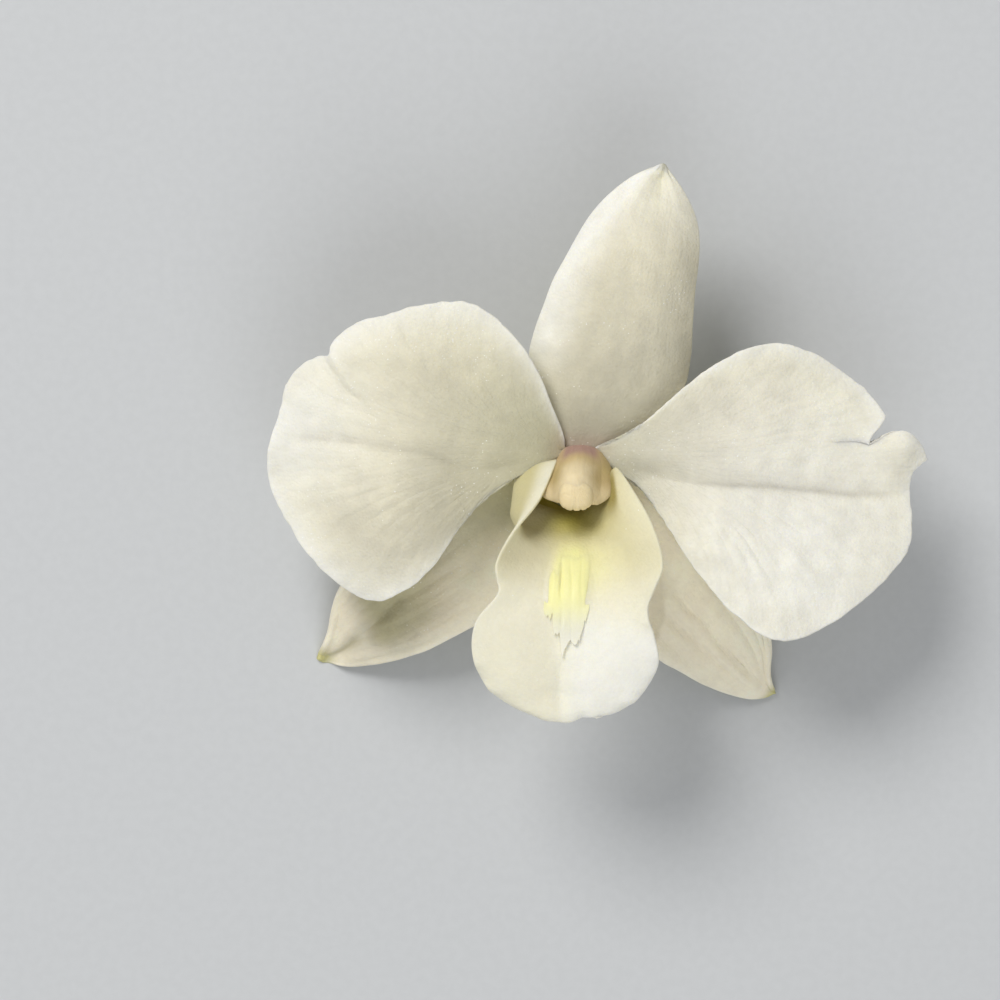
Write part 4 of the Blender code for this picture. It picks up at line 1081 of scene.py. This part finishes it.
class ORCHID_OT_column(bpy.types.Operator):
    """Shape the column: its foot, its ridge and the wing on either side"""

    bl_idname = "orchid.column"
    bl_label = "Column"

    def execute(self, context):
        left, ridge, right = splines(COLUMN, COLUMN_STEPS)
        thin, back, front, flat = spline([station[3:] for station in COLUMN], COLUMN_STEPS).T[..., None]
        t = np.linspace(0, 1, COLUMN_COLUMNS)[None, :, None]
        grid = arched(left, ridge, right, t)
        x, y, z = np.moveaxis(grid, 2, 0)
        q = 2 * t[..., 0] - 1
        off = np.abs(q) * (right[:, :1] - left[:, :1]) / 2
        up = ramp(z, 0.0, 2.0)
        squared = ramp(z, -1.5, 0.0) * (1 - flat)
        round_profile = np.clip(1 - q**2, 0, 1) ** (0.45 - 0.28 * squared)
        ridge_half = RIDGE_HALF[0] + (RIDGE_HALF[1] - RIDGE_HALF[0]) * ramp(z, 2.0, 4.0)
        ridge_profile = (0.5 + 0.5 * np.cos(np.pi * np.clip(off / ridge_half, 0, 1))) ** 0.75
        profile = round_profile * (1 - flat) + (0.8 * ridge_profile + 0.2 * round_profile) * flat
        grain = 0.03 * ripple(COLUMN_SEED, q * 9, np.arange(len(grid))[:, None] / 9)
        dent = -0.09 * hump(x, 0.2, 0.16) * hump(y, -3.85, 0.14) * flat
        pink = ramp(z, 3.2, 2.1) * ramp(z, -1.0, 0.2) * (1 - 0.7 * ramp(off, 1.1, 1.7))
        # the wings' tan, darker higher up, also laid near the heart: partly their own tan, partly painted
        # shade where the column sinks between the petals
        flank = ramp(off, 0.5, 1.9) * (0.35 + 0.65 * ramp(y, -4.6, -3.0))
        wing = np.maximum(0.9 * flank * up, 0.85 * ramp(z, 4.05, 2.9) * up)
        foot = ramp(z, 0.0, -1.6)
        # painted shade on the flanks, darkest right of the column under the petal's claw
        painted_flank_shade = 0.48 * ramp(x, 1.2, 2.4) * hump(y, -1.7, 1.1) + 0.25 * hump(x, -2.2, 0.5) * hump(y, -2.8, 1.0)
        tint = weights(wing, pink, painted_flank_shade * up, 0.55 * foot + 0.35 * ramp(z, -3.0, -8.0))
        # underneath: tan and the hollow's dark as painted shade, and the foot's green
        under = weights(0.8, 0.0, 0.7 * up, 0.4 * foot)
        relief = (back + grain * up) * profile + dent
        sheet("column_body", grid, thin * (1 - 0.35 * q**4), tint, under, relief, front * profile)
        return {"FINISHED"}


# ---------------------------------------------------------------- anther


def leaned(points):
    """Points of the anther, drawn about its middle with its crown up, set on the column."""
    up, along = math.cos(CAP_LEAN), math.sin(CAP_LEAN)
    return points @ np.array([[1, 0, 0], [0, up, along], [0, -along, up]]) + np.array(CAP_MIDDLE)


class ORCHID_OT_anther(bpy.types.Operator):
    """Set the anther cap on the column's tip, over its four pollinia"""

    bl_idname = "orchid.anther"
    bl_label = "Anther"

    def execute(self, context):
        turn = np.linspace(0, FULL_TURN, CAP_SIDES, endpoint=False)
        rings, growth, tint = [], [], []
        for inset, levels, shade in ((0.0, CAP_OUTSIDE, (0.1, 0, 0)), (CAP_WALL, CAP_INSIDE, (0.9, 0, 0.6))):
            for level in levels:
                rings.append(self.ring(turn, inset, level))
                growth.append(np.stack([turn / FULL_TURN, level + 0 * turn, 1 + 0 * turn], axis=1))
                tint.append(np.tile(shade, (CAP_SIDES, 1)))
        faces = ring_faces(len(rings), CAP_SIDES, gap=len(CAP_OUTSIDE) - 1)
        rings, growth, tint = (np.concatenate(parts) for parts in (rings, growth, tint))
        piece("anther_lid", leaned(rings), faces, growth, tint)
        self.pollinia()
        return {"FINISHED"}

    def ring(self, turn, inset, level):
        """Points round the cap at one level, from 0 at its rim to 1 at its crown."""
        cos, sin = np.cos(turn), np.sin(turn)
        forward = sin < 0
        a, b, c = (radius - inset for radius in CAP_RADII)
        ends, square = np.where(forward, b, CAP_BACK - inset), np.where(forward, 2.7, 2.1)
        radius = (np.abs(cos / a) ** square + np.abs(sin / ends) ** square) ** (-1 / square)
        nicks = sum(depth * hump(radius * cos, at, 0.11) for at, depth in CAP_NICKS) * forward
        swell = math.cos(max(level, 0) * math.pi / 2) ** np.where(forward, 0.82, 0.82 - 0.27 * sin)
        radius = radius * (1 - nicks * (1 - max(level, 0)) ** 1.5) * swell * (1 - 0.9 * max(-level, 0))
        x, y = radius * cos, radius * sin
        height = c * math.sin(level * math.pi / 2) * np.ones(len(turn))
        if inset == 0.0:
            height = height - 0.06 * hump(x, 0.02, 0.13) * ramp(-y, -0.2, 0.9)
            height = height + ripples(CAP_SEED, x, y, (0.012, 0.22, 0.22), (0.03, 0.6, 0.6))
        return np.stack([x, y, height], axis=1)

    def pollinia(self):
        """Four waxy pollinia, side by side under the cap."""
        turn = np.linspace(0, FULL_TURN, POLLINIUM_SIDES, endpoint=False)
        levels = np.radians(np.linspace(-POLLINIUM_POLE, POLLINIUM_POLE, POLLINIUM_RINGS))
        level, turn = (each.reshape(-1) for each in np.meshgrid(levels, turn, indexing="ij"))
        waist = np.cos(level) ** 0.8
        across, along, high = POLLINIUM_RADII
        points = np.stack([
            across * waist * np.cos(turn),
            along * np.sin(level) * (1 + 0.05 * np.cos(turn)),
            POLLINIUM_HEIGHT + high * waist * np.sin(turn),
        ], axis=1)
        growth = np.stack([turn / FULL_TURN, level, 1 + 0 * turn], axis=1)
        tint = np.tile([0.25, 0.0, 0.1], (len(points), 1))
        faces = ring_faces(POLLINIUM_RINGS, POLLINIUM_SIDES)
        for number in range(4):
            aside = np.array([(number - 1.5) * POLLINIUM_PITCH, 0.0, 0.0])
            piece(f"pollen_{number + 1}", leaned(points + aside), faces, growth, tint)


# ---------------------------------------------------------------- stalk


class ORCHID_OT_stalk(bpy.types.Operator):
    """Grow the ribbed ovary and stalk behind the flower, to its square cut"""

    bl_idname = "orchid.stalk"
    bl_label = "Stalk"

    def execute(self, context):
        axis = spline([station[0] for station in STALK], STALK_STEPS)
        radius = spline([(station[1], i) for i, station in enumerate(STALK)], STALK_STEPS)[:, :1]
        station = (np.arange(len(axis)) / STALK_STEPS)[:, None]
        along = unit(np.gradient(axis, axis=0))
        across = unit(np.cross(along, [0.0, 0.0, 1.0]))
        up = np.cross(across, along)
        turn = np.linspace(0, FULL_TURN, STALK_SIDES, endpoint=False)
        cos, sin = np.cos(turn)[None], np.sin(turn)[None]
        ribs = 0.035 * np.cos(context.scene.orchid_sizes.stalk_ribs * (turn[None] + 0.16 * station))
        ribs = ribs * ramp(station, 1.0, 3.0) * (1 - 0.75 * ramp(station, 4.5, 7.0))
        wobble = 0.02 * ripple(STALK_SEED, cos * 2 + 7 + station, sin * 2 + station * 2)
        reach = (radius * (1 + ribs + wobble))[..., None]
        rings = axis[:, None] + reach * (cos[..., None] * across[:, None] + sin[..., None] * up[:, None])
        cut = [axis[-1] + along[-1] * depth + (rings[-1] - axis[-1]) * share for share, depth in CUT_END]
        count, body = len(rings) + len(cut), len(rings)
        growth = np.zeros((count, STALK_SIDES, 3))
        growth[..., 0] = turn / FULL_TURN
        growth[..., 1] = np.linspace(0, 1, count)[:, None]
        patch = ripple(STALK_SEED + 1, cos * 1.5 + 3, station * 1.6)
        pink = 0.95 * ramp(station, 2.6, 0.9)
        tint = np.zeros((count, STALK_SIDES, 3))
        tint[:body, :, 0] = 0.85 * ramp(sin + 0.5 * patch, 0.1, 0.9) * ramp(station, 3.0, 5.5)
        tint[:body, :, 1] = pink
        tint[:body, :, 2] = 0.55 * ramp(station, 5.0, 2.0) * (1 - pink)
        tint[body:, :, 2] = 0.9
        rings = np.concatenate([rings, cut])
        piece("stalk", rings, ring_faces(count, STALK_SIDES), growth, np.clip(tint, 0, 1))
        return {"FINISHED"}


# ---------------------------------------------------------------- stage


class ORCHID_OT_stage(bpy.types.Operator):
    """Lay the floor, hang the soft lamps and set the camera over the flower"""

    bl_idname = "orchid.stage"
    bl_label = "Stage"

    def execute(self, context):
        studio = context.scene.orchid_studio
        self.floor(studio)
        self.lamps(studio)
        self.surround(studio)
        self.camera(context, studio)
        return {"FINISHED"}

    def floor(self, studio):
        half = studio.floor_width / 2
        corners = [(x * half, y * half, 0) for x, y in ((-1, -1), (1, -1), (1, 1), (-1, 1))]
        mesh = bpy.data.meshes.new("floor")
        mesh.from_pydata(corners, [], [(0, 1, 2, 3)])
        nodes = Nodes(bpy.data.materials.new("floor paper"))
        fibre = nodes.noise(nodes.add("TexCoord")["Object"], 0.0009, 4.0)
        paper = Vector(studio.floor_colour)
        nodes.shade(
            Base_Color=nodes.mix(nodes.fit(fibre, 0.3, 0.7), paper * 0.985, paper * 1.01),
            Normal=nodes.bump(fibre, 0.15, 0.0001),
            Roughness=0.85,
            Specular_IOR_Level=0.2,
        )
        mesh.materials.append(nodes.owner)
        placed("floor", mesh)

    def lamps(self, studio):
        for name, way, watts, settings in (
            ("key_lamp", studio.key_from, studio.key_watts, KEY_LAMP),
            ("fill_lamp", studio.fill_from, studio.fill_watts, FILL_LAMP),
        ):
            lamp = bpy.data.lights.new(name, "AREA")
            lamp.shape = "DISK"
            lamp.energy = watts
            for key, value in settings.items():
                setattr(lamp, key, value)
            way = Vector(way).normalized()
            hung = placed(name, lamp)
            hung.location = HEART + way * studio.lamp_distance
            hung.rotation_euler = way.to_track_quat("Z", "Y").to_euler()

    def surround(self, studio):
        """Light from all round, which the camera and glossy or clear surfaces see as the background."""
        world = bpy.data.worlds.new("studio")
        bpy.context.scene.world = world
        nodes = Nodes(world, "Background")
        rays = nodes.add("LightPath")
        seen = nodes.maths("MAXIMUM", rays["Is Camera Ray"], rays["Is Glossy Ray"])
        seen = nodes.maths("MAXIMUM", seen, rays["Is Transmission Ray"])
        strength = nodes.fit(seen, 0.0, 1.0, studio.sky, studio.background)
        nodes.shade(Color=(1.0, 1.0, 1.0, 1.0), Strength=strength)

    def camera(self, context, studio):
        camera = bpy.data.cameras.new("camera")
        camera.sensor_width = SENSOR_WIDTH
        camera.lens = camera.sensor_width * studio.camera_height / studio.picture_width
        camera.clip_start = 0.01
        stand = placed("camera", camera)
        aside = [offset * UNIT for offset in CAMERA_ASIDE]
        stand.location = HEART + Vector((*aside, studio.camera_height))
        context.scene.camera = stand
        context.scene.view_settings.view_transform = "Standard"


# ---------------------------------------------------------------- settings


def setting(kind, **more):
    """Makes settings of this kind from a name, a description and a default."""
    return lambda name, text, default: kind(name=name, description=text, default=default, **more)


a_length = setting(FloatProperty, min=0, precision=5, unit="LENGTH")
a_strength = setting(FloatProperty, min=0)
a_power = setting(FloatProperty, min=0, unit="POWER")
a_count = setting(IntProperty, min=0)
a_colour = setting(FloatVectorProperty, size=3, min=0, max=1, subtype="COLOR")
a_direction = setting(FloatVectorProperty, subtype="DIRECTION")


class OrchidSizes(bpy.types.PropertyGroup):
    petal_thickness: a_length("Petal Thickness", "Thickness in the middle of a petal", 0.62 * UNIT)
    sepal_thickness: a_length("Sepal Thickness", "Thickness in the middle of a sepal", 0.62 * UNIT)
    lip_thickness: a_length("Lip Thickness", "Thickness in the middle of the lip", 0.60 * UNIT)
    wrinkle: a_length("Wrinkle Height", "Height of the wrinkles along a petal's veins", 0.22 * UNIT)
    undulation: a_length("Undulation", "Height of the broad swells over petals and sepals", 0.22 * UNIT)
    cell: a_length("Cell Size", "Width of the cells that pebble the surface", 0.28 * UNIT)
    veins: a_count("Veins", "Veins that fan out over a petal", 34)
    stalk_ribs: a_count("Stalk Ribs", "Low ribs round the ovary", 6)


class OrchidColours(bpy.types.PropertyGroup):
    petal: a_colour("Petal", "Petals and sepals", (0.76, 0.72, 0.575))
    # painted highlight: on the petals' rims and lit lobes, and on the upper sepal's left edge and tip
    rim_white: a_colour("Rim", "Thin lit rims and the palest lobes", (0.92, 0.90, 0.815))
    # the claws' green, also painted shade over the left petal's inner half
    base_green: a_colour("Petal Base", "The petals' greenish claws", (0.53, 0.51, 0.345))
    sepal_green: a_colour("Sepal Green", "Feet, backs and tips of the sepals", (0.62, 0.59, 0.26))
    # painted shade: laid on the upper sepal's foot and right edge, and on the petals' shaded spots and keels
    shade: a_colour("Sepal Base", "The dull base of the upper sepal", (0.27, 0.245, 0.175))
    # the lateral sepals' warm tone, laid lighter than their own colour: partly painted light
    cream: a_colour("Cream", "The warm faces of the lateral sepals", (1.0, 0.905, 0.715))
    # the chin's green; with the pink it also lays the lateral sepals' painted shadow
    chin_green: a_colour("Chin", "The chin behind the lip", (0.36, 0.38, 0.12))
    pink: a_colour("Flush", "Pink keels on the backs and the petals' claws", (0.62, 0.38, 0.34))
    lip: a_colour("Lip", "The lip", (0.87, 0.83, 0.665))
    lip_front: a_colour("Lip Front", "The lip's white front lobe", (0.99, 0.965, 0.85))
    # the throat's own yellow-green, laid deepest under the column, where it is also painted shade
    throat: a_colour("Throat", "The lip's yellow-green throat", (0.52, 0.455, 0.10))
    crest: a_colour("Crest", "The lip's yellow crest", (0.99, 0.945, 0.45))
    # painted shade: laid beside and below the column, on its flanks and under it
    hollow: a_colour("Hollow", "The dark hollow beside and below the column", (0.33, 0.27, 0.08))
    column: a_colour("Column", "The column's ridge", (0.82, 0.69, 0.44))
    # the wings' tan; also painted shade on the column near the heart, under it and inside the anther cap
    column_wing: a_colour("Column Wings", "The column's wings", (0.54, 0.405, 0.185))
    column_pink: a_colour("Column Base", "The pink band over the column", (0.43, 0.27, 0.22))
    stigma: a_colour("Stigma", "The hollow under the anther", (0.66, 0.52, 0.10))
    anther: a_colour("Anther Cap", "The anther cap", (0.91, 0.75, 0.46))
    pollen: a_colour("Pollinia", "The waxy pollinia", (0.80, 0.58, 0.12))
    stalk: a_colour("Stalk", "The stalk's green", (0.27, 0.27, 0.055))
    stalk_flush: a_colour("Stalk Flush", "The brown flush along the stalk's upper side", (0.17, 0.085, 0.035))
    heart_pink: a_colour("Star", "The pink star where the sepals join the stalk", (0.66, 0.33, 0.36))
    stalk_pith: a_colour("Pith", "The ovary's pale head and the cut end", (0.52, 0.52, 0.20))


class OrchidStudio(bpy.types.PropertyGroup):
    camera_height: a_length("Camera Height", "The camera's height over the heart of the flower", 0.6)
    picture_width: a_length("Picture Width", "Width of the picture at the heart", 94.1 * UNIT)
    lamp_distance: a_length("Lamp Distance", "From the heart to the lamps", 0.9)
    floor_width: a_length("Floor Width", "Side of the square floor", 8.0)
    key_from: a_direction("Key From", "Direction of the key lamp", (-0.36, 0.56, 0.75))
    fill_from: a_direction("Fill From", "Direction of the fill lamp", (0.06, -0.70, 0.71))
    key_watts: a_power("Key", "Power of the key lamp", 5.2)
    fill_watts: a_power("Fill", "Power of the fill lamp", 2.7)
    sky: a_strength("Sky", "Light from all round", 0.33)
    background: a_strength("Background", "What the camera sees past the floor", 0.62)
    floor_colour: a_colour("Floor", "The floor", (0.60, 0.615, 0.63))


GROUPS = {"orchid_sizes": OrchidSizes, "orchid_colours": OrchidColours, "orchid_studio": OrchidStudio}
OPERATORS = (
    ORCHID_OT_petals,
    ORCHID_OT_upper_sepal,
    ORCHID_OT_lateral_sepals,
    ORCHID_OT_lip,
    ORCHID_OT_column,
    ORCHID_OT_anther,
    ORCHID_OT_stalk,
    ORCHID_OT_stage,
)


class ORCHID_PT_flower(bpy.types.Panel):
    """The flower's pieces, sizes and colours"""

    bl_idname = "ORCHID_PT_flower"
    bl_label = "Dendrobium Flower"
    bl_space_type = "VIEW_3D"
    bl_region_type = "UI"
    bl_category = "Orchid"

    def draw(self, context):
        for operator in OPERATORS:
            self.layout.operator(operator.bl_idname)
        for owner, group in GROUPS.items():
            box = self.layout.box()
            for name in group.__annotations__:
                box.prop(getattr(context.scene, owner), name)


def register():
    for made in (*GROUPS.values(), *OPERATORS, ORCHID_PT_flower):
        bpy.utils.register_class(made)
    for name, group in GROUPS.items():
        setattr(bpy.types.Scene, name, PointerProperty(type=group))


def unregister():
    for name in GROUPS:
        delattr(bpy.types.Scene, name)
    for made in (ORCHID_PT_flower, *reversed(OPERATORS), *GROUPS.values()):
        bpy.utils.unregister_class(made)


def main():
    register()
    bpy.ops.orchid.petals()
    bpy.ops.orchid.upper_sepal()
    bpy.ops.orchid.lateral_sepals()
    bpy.ops.orchid.lip()
    bpy.ops.orchid.column()
    bpy.ops.orchid.anther()
    bpy.ops.orchid.stalk()
    bpy.ops.orchid.stage()


if __name__ == "__main__":
    main()
